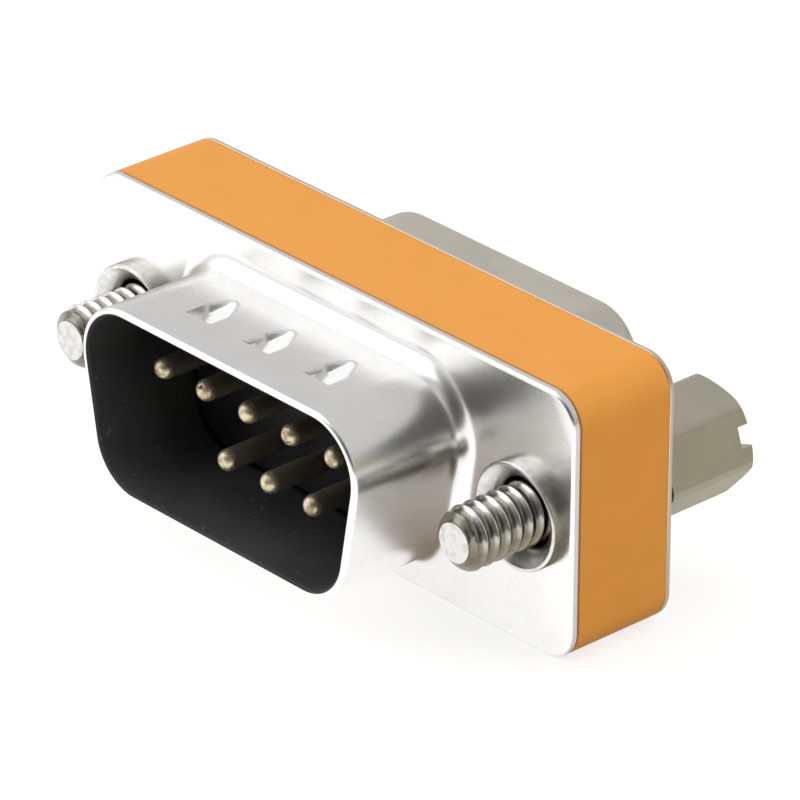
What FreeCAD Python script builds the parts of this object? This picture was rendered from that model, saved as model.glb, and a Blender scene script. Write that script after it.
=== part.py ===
import FreeCAD, Part
import Sketcher
import math
import os

# Slim nine-way D adapter: a male plug in front and a female socket behind, joined by a
# plastic body with a crossover board inside and held by two eyelets with captive jackscrews.
# +X runs along the long side, -Y points out of the plug, +Z is up.
# The origin is the middle of the flat underside, half way through the plastic body.
# All lengths are millimetres and all angles are degrees.

SIZES = [
    # Flanges and plastic body, measured outward from the plug shell
    ("flange_margin", 0.875, "flat flange above and below the plug bend"),
    ("ring_gap", 0.26, "flat flange between the plug bend and an eyelet ring"),
    ("flange_end", 0.46, "flat flange between an eyelet ring and the end"),
    ("flange_corner", 1.55, "corner radius"),
    ("body_depth", 5.16, "depth of the plastic body"),
    ("edge_round", 0.12, "soft edge of the stamped sheet"),
    ("side_angle", 10.0, "lean of the short sides of both D shapes"),
    # Plug shell: inside outline of the drawn D
    ("plug_width", 17.01, "inside width at the wide side"),
    ("plug_height", 8.24, "inside height"),
    ("plug_corner", 2.32, "inside corner radius"),
    ("plug_reach", 6.28, "flange face to rim"),
    ("plug_sheet", 0.38, "sheet thickness"),
    ("plug_bend", 0.9, "outer bend where the D leaves the flange"),
    ("plug_inner_bend", 0.45, "inner bend behind the flange"),
    ("rim_round", 0.13, "rounding of the rim"),
    ("dimple_spacing", 3.85, "distance between the dimples on the wide side"),
    ("dimple_setback", 3.1, "flange face to the middle of a dimple"),
    ("dimple_length", 2.5, "dimple size along the depth"),
    ("dimple_width", 1.3, "dimple size across"),
    ("dimple_depth", 0.22, "how far a dimple is pressed in"),
    # Socket shell: outside outline of the drawn D, which fits inside a plug shell
    ("mate_gap_across", 0.34, "socket shell inside a plug shell, at each end"),
    ("mate_gap_up", 0.17, "socket shell inside a plug shell, above and below"),
    ("socket_corner", 2.45, "outside corner radius"),
    ("socket_reach", 5.25, "flange face to rim"),
    ("socket_sheet", 0.3, "sheet thickness"),
    ("socket_bend", 0.7, "outer bend where the D leaves the flange"),
    ("socket_inner_bend", 0.4, "inner bend behind the flange"),
    ("socket_rim_bend", 0.75, "outside rounding where the rim turns inward"),
    ("socket_lip", 0.1, "flat lip beyond the rounding"),
    # Hollow in the plastic body and what fills it
    ("hollow_side", 0.805, "wall between the hollow and an eyelet hole"),
    ("hollow_wall", 1.175, "wall above and below the hollow"),
    ("hollow_corner", 1.2, "hollow corner radius"),
    ("moulding_gap", 0.05, "clearance round each insulator and the board"),
    ("board_thickness", 1.0, "crossover board"),
    ("well_depth", 0.35, "depth of each solder well in the board"),
    ("plug_block", 1.3, "insulator flange behind the plug flange"),
    ("plug_nose", 0.5, "insulator face in front of the plug flange"),
    ("socket_block", 1.3, "insulator flange behind the socket flange"),
    ("socket_recess", 0.05, "socket lip to insulator face"),
    # Contacts
    ("contact_spacing", 2.77, "distance between contacts along a row"),
    ("row_spacing", 2.84, "distance between the two rows"),
    ("contact_fit", 0.03, "radial clearance of a contact in its insulator"),
    ("pin_radius", 0.5, "plug pin"),
    ("pin_reach", 4.84, "flange face to pin tip"),
    ("pin_tip_round", 0.45, "dome of the pin tip"),
    ("collar_step", 0.25, "collar that holds a pin, beyond the pin"),
    ("collar_length", 0.5, "collar length"),
    ("tail_step", 0.15, "solder tail, thinner than the pin"),
    ("bore_gap", 0.04, "socket contact bore, wider than a pin"),
    ("barrel_wall", 0.26, "socket contact wall"),
    ("bore_depth", 4.0, "socket contact, depth of the bore"),
    ("entry_gap", 0.1, "entry hole of the socket insulator, wider than a pin"),
    ("entry_depth", 0.5, "entry hole length"),
    ("entry_chamfer", 0.2, "lead-in of the entry hole"),
    # Eyelets, measured outward from the jackscrew thread
    ("stud_clearance", 0.16, "thread to the bore of the eyelet"),
    ("eyelet_wall", 0.28, "wall of the barrel"),
    ("eyelet_fit", 0.03, "radial clearance in flanges and body"),
    ("ring_width", 0.59, "front ring beyond the barrel"),
    ("ring_proud", 0.62, "front ring in front of the flange"),
    ("ring_crest", 0.12, "flat crest of the ring"),
    ("ring_round", 0.15, "outer edge of the ring"),
    ("mouth_drop", 0.5, "depth of the sloping mouth"),
    ("flare_width", 0.24, "rear flare beyond the barrel"),
    ("flare_thickness", 0.25, "rear flare"),
    ("lip_length", 0.35, "rear lip that keeps the jackscrew in"),
    ("lip_fit", 0.15, "clearance of the shank in the lip"),
    # Jackscrews
    ("post_gap", 0.08, "hex post to the rear flare"),
    ("post_reach", 5.2, "socket flange face to the end of the hex post"),
    ("post_flats", 4.75, "hex post across flats"),
    ("post_edge_round", 0.4, "rounding of the long edges of the post"),
    ("post_chamfer", 0.32, "turned corners at the end of the post"),
    ("post_floor", 0.67, "solid metal below the tapped hole"),
    ("slot_width", 0.95, "screwdriver slot"),
    ("slot_depth", 0.65, "screwdriver slot"),
    ("thread_height", 0.3, "tapped hole, narrower than the thread's outside"),
    ("stud_radius", 1.42, "outside of the front thread"),
    ("stud_reach", 4.02, "plug flange face to the end of the thread"),
    ("tip_step", 0.46, "flat end, narrower than the thread"),
    ("stud_lead", 0.42, "length of the chamfer at the end"),
    ("run_out_gap", 0.03, "end of the full thread in front of the eyelet ring"),
    ("run_out_step", 0.3, "thread run-out inside the eyelet, narrower than the thread"),
    ("thread_run_in", 1.0, "run-out length behind the plug flange face"),
    ("shank_step", 0.37, "plain shank, narrower than the thread"),
    ("right_turn", 19.0, "rest angle of the right jackscrew"),
    ("left_turn", 41.0, "rest angle of the left jackscrew"),
]

doc = FreeCAD.newDocument("SlimAdapter")
sizes = doc.addObject("Spreadsheet::Sheet", "Sizes")
for row, (alias, number, note) in enumerate(SIZES, start=1):
    sizes.set("A%d" % row, alias)
    sizes.set("B%d" % row, str(number))
    sizes.set("C%d" % row, note)
    sizes.setAlias("B%d" % row, alias)
doc.recompute()

# Places along the depth that several pieces share
BACK_OF_PLUG_FLANGE = "-Sizes.body_depth / 2"
PLUG_FACE = "-(Sizes.body_depth / 2 + Sizes.plug_sheet)"
PLUG_RIM = "-(Sizes.body_depth / 2 + Sizes.plug_sheet + Sizes.plug_reach)"
PLUG_BLOCK_BACK = "(Sizes.plug_block - Sizes.body_depth / 2)"
BACK_OF_SOCKET_FLANGE = "Sizes.body_depth / 2"
SOCKET_FACE = "(Sizes.body_depth / 2 + Sizes.socket_sheet)"
SOCKET_RIM = "(Sizes.body_depth / 2 + Sizes.socket_sheet + Sizes.socket_reach)"
SOCKET_BLOCK_BACK = "(Sizes.body_depth / 2 - Sizes.socket_block)"
NOSE_FACE = "(" + SOCKET_RIM + " - Sizes.socket_sheet - Sizes.socket_recess)"
SOCKET_STEP = "(" + NOSE_FACE + " - Sizes.entry_depth)"
POST_START = "(" + SOCKET_FACE + " + Sizes.flare_thickness + Sizes.post_gap)"
POST_END = "(" + SOCKET_FACE + " + Sizes.post_reach)"

# Sizes across the depth that several pieces share
EYELET_BORE = "(Sizes.stud_radius + Sizes.stud_clearance)"
EYELET_RADIUS = "(" + EYELET_BORE + " + Sizes.eyelet_wall)"
RING_RADIUS = "(" + EYELET_RADIUS + " + Sizes.ring_width)"
SHANK_RADIUS = "(Sizes.stud_radius - Sizes.shank_step)"
SCREW_X = "(Sizes.plug_width / 2 + Sizes.plug_sheet + Sizes.plug_bend + Sizes.ring_gap + " + RING_RADIUS + ")"
HALF_WIDTH = "(" + SCREW_X + " + " + RING_RADIUS + " + Sizes.flange_end)"
MID_HEIGHT = "(Sizes.plug_height / 2 + Sizes.plug_sheet + Sizes.plug_bend + Sizes.flange_margin)"
HOLLOW_ACROSS = "(" + SCREW_X + " - " + EYELET_RADIUS + " - Sizes.eyelet_fit - Sizes.hollow_side)"
HOLLOW_UP = "(" + MID_HEIGHT + " - Sizes.hollow_wall)"
BORE_RADIUS = "(Sizes.pin_radius + Sizes.bore_gap)"
BARREL_RADIUS = "(" + BORE_RADIUS + " + Sizes.barrel_wall)"
COLLAR_RADIUS = "(Sizes.pin_radius + Sizes.collar_step)"
TAIL_RADIUS = "(Sizes.pin_radius - Sizes.tail_step)"
ENTRY_RADIUS = "(Sizes.pin_radius + Sizes.entry_gap)"
D_ACROSS = {"plug": "(Sizes.plug_width / 2)", "socket": "(Sizes.plug_width / 2 - Sizes.mate_gap_across)"}
D_UP = {"plug": "(Sizes.plug_height / 2)", "socket": "(Sizes.plug_height / 2 - Sizes.mate_gap_up)"}

parts = []


def value(expression):
    """Number that an expression of the sheet gives now."""
    result = sizes.evalExpression(expression)
    return float(getattr(result, "Value", result))


def new_body(label, x="0", turn=None):
    """Body whose own zero height is the middle of the flanges."""
    body = doc.addObject("PartDesign::Body", label)
    body.Label = label
    if turn:
        body.Placement.Rotation = FreeCAD.Rotation(FreeCAD.Vector(0, -1, 0), 10)
        body.setExpression(".Placement.Rotation.Angle", turn + " * 1 deg")
    body.setExpression(".Placement.Base.x", x)
    body.setExpression(".Placement.Base.z", MID_HEIGHT)
    parts.append(body)
    return body


def new_sketch(body, name, role, lift=None):
    """Sketch on one of the body's own planes, lifted along the plane's normal."""
    sketch = body.newObject("Sketcher::SketchObject", name)
    plane = [item for item in body.Origin.OriginFeatures if item.Role == role][0]
    sketch.AttachmentSupport = [(plane, "")]
    sketch.MapMode = "FlatFace"
    if lift:
        sketch.setExpression(".AttachmentOffset.Base.z", lift)
    return sketch


def depth_sketch(body, name, depth):
    """Sketch across the depth; the plane's normal points out of the plug."""
    return new_sketch(body, name, "XZ_Plane", "-(" + depth + ")")


def hold(sketch, kind, first, second, expression):
    """Driving constraint whose number comes from the sheet."""
    if second is None:
        rule = Sketcher.Constraint(kind, first, value(expression))
    else:
        rule = Sketcher.Constraint(kind, -1, 1, first, second, value(expression))
    index = sketch.addConstraint(rule)
    sketch.setExpression("Constraints[%d]" % index, expression)


def polygon(sketch, points):
    """Closed run of lines through points given as pairs of expressions."""
    places = [FreeCAD.Vector(value(x), value(y), 0) for x, y in points]
    first = sketch.GeometryCount
    count = len(places)
    for i in range(count):
        sketch.addGeometry(Part.LineSegment(places[i], places[(i + 1) % count]), False)
    for i in range(count):
        after = first + (i + 1) % count
        sketch.addConstraint(Sketcher.Constraint("Coincident", first + i, 2, after, 1))
    for i, (x, y) in enumerate(points):
        hold(sketch, "DistanceX", first + i, 1, x)
        hold(sketch, "DistanceY", first + i, 1, y)


def circle(sketch, x, y, radius):
    """Circle with its centre and radius from the sheet."""
    centre = FreeCAD.Vector(value(x), value(y), 0)
    index = sketch.addGeometry(Part.Circle(centre, FreeCAD.Vector(0, 0, 1), value(radius)), False)
    hold(sketch, "Radius", index, None, radius)
    hold(sketch, "DistanceX", index, 3, x)
    hold(sketch, "DistanceY", index, 3, y)


def rounded(sketch, top, bottom, rise, radius, x="0", y="0"):
    """Four arcs joined by tangent lines. top, bottom and rise place the arc centres."""
    lean = math.atan2(value(top) - value(bottom), 2 * value(rise))
    spots = [
        ("(%s) + (%s)" % (x, top), "(%s) + (%s)" % (y, rise), -lean, math.pi / 2),
        ("(%s) - (%s)" % (x, top), "(%s) + (%s)" % (y, rise), math.pi / 2, math.pi + lean),
        ("(%s) - (%s)" % (x, bottom), "(%s) - (%s)" % (y, rise), math.pi + lean, 1.5 * math.pi),
        ("(%s) + (%s)" % (x, bottom), "(%s) - (%s)" % (y, rise), 1.5 * math.pi, 2 * math.pi - lean),
    ]
    first = sketch.GeometryCount
    reach = value(radius)
    up = FreeCAD.Vector(0, 0, 1)
    ends = []
    for cx, cy, start, stop in spots:
        centre = FreeCAD.Vector(value(cx), value(cy), 0)
        sketch.addGeometry(Part.ArcOfCircle(Part.Circle(centre, up, reach), start, stop), False)
        begin = centre + FreeCAD.Vector(math.cos(start), math.sin(start), 0) * reach
        finish = centre + FreeCAD.Vector(math.cos(stop), math.sin(stop), 0) * reach
        ends.append((begin, finish))
    for i in range(4):
        sketch.addGeometry(Part.LineSegment(ends[i][1], ends[(i + 1) % 4][0]), False)
    for i in range(4):
        line = first + 4 + i
        after = first + (i + 1) % 4
        sketch.addConstraint(Sketcher.Constraint("Tangent", first + i, 2, line, 1))
        sketch.addConstraint(Sketcher.Constraint("Tangent", line, 2, after, 1))
    for i, (cx, cy, start, stop) in enumerate(spots):
        hold(sketch, "Radius", first + i, None, radius)
        hold(sketch, "DistanceX", first + i, 3, cx)
        hold(sketch, "DistanceY", first + i, 3, cy)


def flange_outline(sketch):
    """Rounded rectangle of the flanges and the plastic body."""
    across = HALF_WIDTH + " - Sizes.flange_corner"
    rise = MID_HEIGHT + " - Sizes.flange_corner"
    rounded(sketch, across, across, rise, "Sizes.flange_corner")


def hollow_outline(sketch, gap):
    """Rounded rectangle of the hollow, made smaller by a clearance."""
    across = HOLLOW_ACROSS + " - Sizes.hollow_corner"
    rise = HOLLOW_UP + " - Sizes.hollow_corner"
    rounded(sketch, across, across, rise, "Sizes.hollow_corner - " + gap)


def d_outline(sketch, kind, grow):
    """D shape with the wide side up; it grows outward from the named outline."""
    top = "%s - Sizes.%s_corner" % (D_ACROSS[kind], kind)
    rise = "%s - Sizes.%s_corner" % (D_UP[kind], kind)
    bottom = "%s - 2 * (%s) * tan(Sizes.side_angle * 1 deg)" % (top, rise)
    rounded(sketch, top, bottom, rise, "Sizes.%s_corner + %s" % (kind, grow))


def contact_places():
    """Places of the nine contacts: five in the upper row, then four in the lower row."""
    spots = []
    for i in range(5):
        spots.append(("%d * Sizes.contact_spacing" % (i - 2), "Sizes.row_spacing / 2"))
    for i in range(4):
        spots.append(("%.1f * Sizes.contact_spacing" % (i - 1.5), "-Sizes.row_spacing / 2"))
    return spots


def contact_circles(sketch, radius):
    """Nine circles at the contact places."""
    for x, y in contact_places():
        circle(sketch, x, y, radius)


def screw_circles(sketch, radius):
    """Two circles at the jackscrews."""
    circle(sketch, SCREW_X, "0", radius)
    circle(sketch, "-" + SCREW_X, "0", radius)


def pad(body, name, sketch, length, backward=False, both=False):
    """Extrusion towards the plug, or towards the socket when backward."""
    feature = body.newObject("PartDesign::Pad", name)
    feature.Profile = sketch
    feature.setExpression("Length", length)
    feature.Reversed = backward
    feature.Midplane = both
    body.Tip = feature
    return feature


def pocket(body, name, sketch, length=None, backward=False):
    """Cut of a given length, or through everything both ways. It must remove material."""
    doc.recompute()
    before = body.Shape.Volume
    feature = body.newObject("PartDesign::Pocket", name)
    feature.Profile = sketch
    if length:
        feature.setExpression("Length", length)
        feature.Reversed = backward
    else:
        feature.Type = "ThroughAll"
        feature.Midplane = True
    body.Tip = feature
    doc.recompute()
    if body.Shape.Volume > before - 1e-4:
        raise RuntimeError("%s removes nothing" % name)
    return feature


def revolve(body, name, sketch, groove=False):
    """Full turn about the depth axis of the body."""
    kind = "PartDesign::Groove" if groove else "PartDesign::Revolution"
    feature = body.newObject(kind, name)
    feature.Profile = sketch
    feature.ReferenceAxis = (sketch, ["V_Axis"])
    feature.Angle = 360
    body.Tip = feature
    return feature


def soften(body, name, radius, wanted, kind="Fillet"):
    """Fillet or chamfer on the edges that the test picks."""
    doc.recompute()
    base = body.Tip
    names = []
    for index, edge in enumerate(base.Shape.Edges, start=1):
        if wanted(edge):
            names.append("Edge%d" % index)
    if not names:
        raise RuntimeError("%s finds no edge" % name)
    feature = body.newObject("PartDesign::" + kind, name)
    feature.Base = (base, names)
    feature.setExpression("Radius" if kind == "Fillet" else "Size", radius)
    body.Tip = feature
    return feature


def lies_at(edge, depth):
    """True for an edge in the plane across the given depth."""
    box = edge.BoundBox
    return abs(box.YMin - depth) < 1e-4 and abs(box.YMax - depth) < 1e-4


def inside_d(edge, kind, grow):
    """True for an edge within the D outline grown by a margin."""
    box = edge.BoundBox
    half_width = value(D_ACROSS[kind]) + grow
    half_height = value(D_UP[kind]) + grow
    return max(-box.XMin, box.XMax) < half_width and max(-box.ZMin, box.ZMax) < half_height


def on_flange_rim(edge):
    """True for an edge on the outer boundary of a flange."""
    box = edge.BoundBox
    wide = max(-box.XMin, box.XMax) > value(HALF_WIDTH) - 1e-4
    tall = max(-box.ZMin, box.ZMax) > value(MID_HEIGHT) - 1e-4
    return wide or tall


# Plug shell: one drawn sheet with its flange, D wall, bends, dimples and eyelet holes
shell = new_body("front_shell")
sketch = depth_sketch(shell, "PlugFlangeSketch", BACK_OF_PLUG_FLANGE)
flange_outline(sketch)
pad(shell, "PlugFlange", sketch, "Sizes.plug_sheet")
sketch = depth_sketch(shell, "PlugWallSketch", BACK_OF_PLUG_FLANGE)
d_outline(sketch, "plug", "Sizes.plug_sheet")
pad(shell, "PlugWall", sketch, "Sizes.plug_sheet + Sizes.plug_reach")
sketch = depth_sketch(shell, "PlugHollowSketch", BACK_OF_PLUG_FLANGE)
d_outline(sketch, "plug", "0")
pocket(shell, "PlugHollow", sketch)
sketch = depth_sketch(shell, "PlugEyeletSketch", BACK_OF_PLUG_FLANGE)
screw_circles(sketch, EYELET_RADIUS + " + Sizes.eyelet_fit")
pocket(shell, "PlugEyeletHoles", sketch)
sheet = value("Sizes.plug_sheet")
face = value(PLUG_FACE)
rim = value(PLUG_RIM)
soften(shell, "PlugBend", "Sizes.plug_bend",
       lambda edge: lies_at(edge, face) and inside_d(edge, "plug", sheet + 0.01))
back = value(BACK_OF_PLUG_FLANGE)
soften(shell, "PlugInnerBend", "Sizes.plug_inner_bend",
       lambda edge: lies_at(edge, back) and inside_d(edge, "plug", 0.01))
soften(shell, "PlugRimRound", "min(Sizes.rim_round; 0.4 * Sizes.plug_sheet)",
       lambda edge: lies_at(edge, rim))
soften(shell, "PlugFlangeRound", "min(Sizes.edge_round; 0.4 * Sizes.plug_sheet)",
       lambda edge: lies_at(edge, face) and on_flange_rim(edge))
middle = "-(Sizes.body_depth / 2 + Sizes.plug_sheet + Sizes.dimple_setback)"
end_round = "Sizes.dimple_width / 2"
straight = "Sizes.dimple_length / 2 - Sizes.dimple_width / 2"
for name, lift, shrink, length in (
        ("Dimple", "Sizes.plug_height / 2 + Sizes.plug_sheet", "0", "Sizes.dimple_depth"),
        ("Bulge", "Sizes.plug_height / 2", "Sizes.dimple_depth / 2", "Sizes.dimple_depth")):
    sketch = new_sketch(shell, name + "Sketch", "XY_Plane", lift)
    for step in (-1, 0, 1):
        rounded(sketch, "Sizes.dimple_width / 4", "Sizes.dimple_width / 4", straight + " + Sizes.dimple_width / 4",
                "Sizes.dimple_width / 4 - " + shrink + " / 2", "%d * Sizes.dimple_spacing" % step, middle)
    if name == "Dimple":
        pocket(shell, "PlugDimples", sketch, length)
    else:
        pad(shell, "PlugBulges", sketch, length, backward=True)

# Socket shell: the smaller drawn sheet behind the body, with its rim turned inward
shell = new_body("rear_shell")
sketch = depth_sketch(shell, "SocketFlangeSketch", BACK_OF_SOCKET_FLANGE)
flange_outline(sketch)
pad(shell, "SocketFlange", sketch, "Sizes.socket_sheet", backward=True)
sketch = depth_sketch(shell, "SocketWallSketch", BACK_OF_SOCKET_FLANGE)
d_outline(sketch, "socket", "0")
pad(shell, "SocketWall", sketch, "Sizes.socket_sheet + Sizes.socket_reach", backward=True)
socket_face = value(SOCKET_FACE)
socket_rim = value(SOCKET_RIM)
soften(shell, "SocketRimBend", "Sizes.socket_rim_bend", lambda edge: lies_at(edge, socket_rim))
sketch = depth_sketch(shell, "SocketHollowSketch", BACK_OF_SOCKET_FLANGE)
d_outline(sketch, "socket", "-Sizes.socket_sheet")
pocket(shell, "SocketHollow", sketch, "Sizes.socket_reach")
lip_back = value(SOCKET_RIM + " - Sizes.socket_sheet")
soften(shell, "SocketLipBend", "Sizes.socket_rim_bend - Sizes.socket_sheet",
       lambda edge: lies_at(edge, lip_back))
sketch = depth_sketch(shell, "SocketMouthSketch", BACK_OF_SOCKET_FLANGE)
d_outline(sketch, "socket", "-(Sizes.socket_rim_bend + Sizes.socket_lip)")
pocket(shell, "SocketMouth", sketch)
sketch = depth_sketch(shell, "SocketEyeletSketch", BACK_OF_SOCKET_FLANGE)
screw_circles(sketch, EYELET_RADIUS + " + Sizes.eyelet_fit")
pocket(shell, "SocketEyeletHoles", sketch)
soften(shell, "SocketBend", "Sizes.socket_bend",
       lambda edge: lies_at(edge, socket_face) and inside_d(edge, "socket", 0.01))
socket_back = value(BACK_OF_SOCKET_FLANGE)
soften(shell, "SocketInnerBend", "Sizes.socket_inner_bend",
       lambda edge: lies_at(edge, socket_back) and inside_d(edge, "socket", 0.01))
mouth = -value("Sizes.socket_rim_bend + Sizes.socket_lip") + 0.01
soften(shell, "SocketRimRound", "min(Sizes.rim_round; 0.4 * Sizes.socket_sheet)",
       lambda edge: lies_at(edge, socket_rim) and inside_d(edge, "socket", mouth))
soften(shell, "SocketFlangeRound", "min(Sizes.edge_round; 0.4 * Sizes.socket_sheet)",
       lambda edge: lies_at(edge, socket_face) and on_flange_rim(edge))

# Plastic body: a frame flush with both flanges, hollow right through
frame = new_body("spacer_body")
sketch = depth_sketch(frame, "FrameSketch", "0")
flange_outline(sketch)
pad(frame, "Frame", sketch, "Sizes.body_depth", both=True)
sketch = depth_sketch(frame, "CavitySketch", "0")
hollow_outline(sketch, "0")
pocket(frame, "Cavity", sketch)
sketch = depth_sketch(frame, "FrameEyeletSketch", "0")
screw_circles(sketch, EYELET_RADIUS + " + Sizes.eyelet_fit")
pocket(frame, "FrameEyeletHoles", sketch)

# Plug insulator: a block behind the flange, a nose inside the shell and nine pin holes
block = new_body("front_insulator")
sketch = depth_sketch(block, "PlugBlockSketch", BACK_OF_PLUG_FLANGE)
hollow_outline(sketch, "Sizes.moulding_gap")
pad(block, "PlugBlock", sketch, "Sizes.plug_block", backward=True)
sketch = depth_sketch(block, "PlugNoseSketch", BACK_OF_PLUG_FLANGE)
d_outline(sketch, "plug", "-Sizes.moulding_gap")
pad(block, "PlugNose", sketch, "Sizes.plug_sheet + Sizes.plug_nose")
sketch = depth_sketch(block, "PinHoleSketch", BACK_OF_PLUG_FLANGE)
contact_circles(sketch, "Sizes.pin_radius + Sizes.contact_fit")
pocket(block, "PinHoles", sketch)
sketch = depth_sketch(block, "CollarSeatSketch", PLUG_BLOCK_BACK)
contact_circles(sketch, COLLAR_RADIUS + " + Sizes.contact_fit")
pocket(block, "CollarSeats", sketch, "Sizes.collar_length", backward=True)

# Socket insulator: a block behind the flange, a long nose and nine closed-entry holes
block = new_body("rear_insulator")
sketch = depth_sketch(block, "SocketBlockSketch", BACK_OF_SOCKET_FLANGE)
hollow_outline(sketch, "Sizes.moulding_gap")
pad(block, "SocketBlock", sketch, "Sizes.socket_block")
sketch = depth_sketch(block, "SocketNoseSketch", BACK_OF_SOCKET_FLANGE)
d_outline(sketch, "socket", "-(Sizes.socket_sheet + Sizes.moulding_gap)")
nose_length = "Sizes.socket_reach - Sizes.socket_recess"
pad(block, "SocketNose", sketch, nose_length, backward=True)
nose_face = value(NOSE_FACE)
soften(block, "SocketNoseRound", "Sizes.socket_rim_bend - Sizes.socket_sheet",
       lambda edge: lies_at(edge, nose_face))
sketch = depth_sketch(block, "EntrySketch", BACK_OF_SOCKET_FLANGE)
contact_circles(sketch, ENTRY_RADIUS)
pocket(block, "EntryHoles", sketch)
sketch = depth_sketch(block, "BarrelHoleSketch", SOCKET_BLOCK_BACK)
contact_circles(sketch, BARREL_RADIUS + " + Sizes.contact_fit")
barrel_length = "Sizes.socket_block + " + nose_length + " - Sizes.entry_depth"
pocket(block, "BarrelHoles", sketch, barrel_length)
entry = 2 * value(ENTRY_RADIUS)
soften(block, "EntryLeadIn", "Sizes.entry_chamfer",
       lambda edge: lies_at(edge, nose_face) and abs(edge.BoundBox.XLength - entry) < 1e-3, "Chamfer")

# Crossover board with a solder well for each contact tail on both faces
board = new_body("crossover_board")
sketch = depth_sketch(board, "BoardSketch", "0")
hollow_outline(sketch, "Sizes.moulding_gap")
pad(board, "Board", sketch, "Sizes.board_thickness", both=True)
sketch = depth_sketch(board, "PlugWellSketch", "-Sizes.board_thickness / 2")
contact_circles(sketch, TAIL_RADIUS + " + Sizes.contact_fit")
pocket(board, "PlugWells", sketch, "Sizes.well_depth")
sketch = depth_sketch(board, "SocketWellSketch", "Sizes.board_thickness / 2")
contact_circles(sketch, TAIL_RADIUS + " + Sizes.contact_fit")
pocket(board, "SocketWells", sketch, "Sizes.well_depth", backward=True)

# Plug pins: a domed pin, a collar and a solder tail. The photographed plug has no pin 6.
PIN_TIP = "(" + PLUG_FACE + " - Sizes.pin_reach)"
PIN_END = "(Sizes.well_depth - Sizes.board_thickness / 2)"
for number, (x, z) in enumerate(contact_places(), start=1):
    if number == 6:
        continue
    pin = new_body("pin_%d" % number, x)
    pin.setExpression(".Placement.Base.z", MID_HEIGHT + " + " + z)
    sketch = new_sketch(pin, "PinSketch%d" % number, "XY_Plane")
    polygon(sketch, [
        ("0", PIN_TIP),
        ("Sizes.pin_radius", PIN_TIP),
        ("Sizes.pin_radius", PLUG_BLOCK_BACK + " - Sizes.collar_length"),
        (COLLAR_RADIUS, PLUG_BLOCK_BACK + " - Sizes.collar_length"),
        (COLLAR_RADIUS, PLUG_BLOCK_BACK),
        (TAIL_RADIUS, PLUG_BLOCK_BACK),
        (TAIL_RADIUS, PIN_END),
        ("0", PIN_END),
    ])
    revolve(pin, "Pin%d" % number, sketch)
    tip = value(PIN_TIP)
    soften(pin, "PinTip%d" % number, "min(Sizes.pin_tip_round; 0.9 * Sizes.pin_radius)",
           lambda edge: lies_at(edge, tip))

# Socket contacts: a bored barrel and a solder tail
CONTACT_END = "(Sizes.board_thickness / 2 - Sizes.well_depth)"
for number, (x, z) in enumerate(contact_places(), start=1):
    contact = new_body("contact_%d" % number, x)
    contact.setExpression(".Placement.Base.z", MID_HEIGHT + " + " + z)
    sketch = new_sketch(contact, "ContactSketch%d" % number, "XY_Plane")
    polygon(sketch, [
        ("0", CONTACT_END),
        (TAIL_RADIUS, CONTACT_END),
        (TAIL_RADIUS, SOCKET_BLOCK_BACK),
        (BARREL_RADIUS, SOCKET_BLOCK_BACK),
        (BARREL_RADIUS, SOCKET_STEP),
        (BORE_RADIUS, SOCKET_STEP),
        (BORE_RADIUS, SOCKET_STEP + " - Sizes.bore_depth"),
        ("0", SOCKET_STEP + " - Sizes.bore_depth"),
    ])
    revolve(contact, "Contact%d" % number, sketch)

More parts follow.
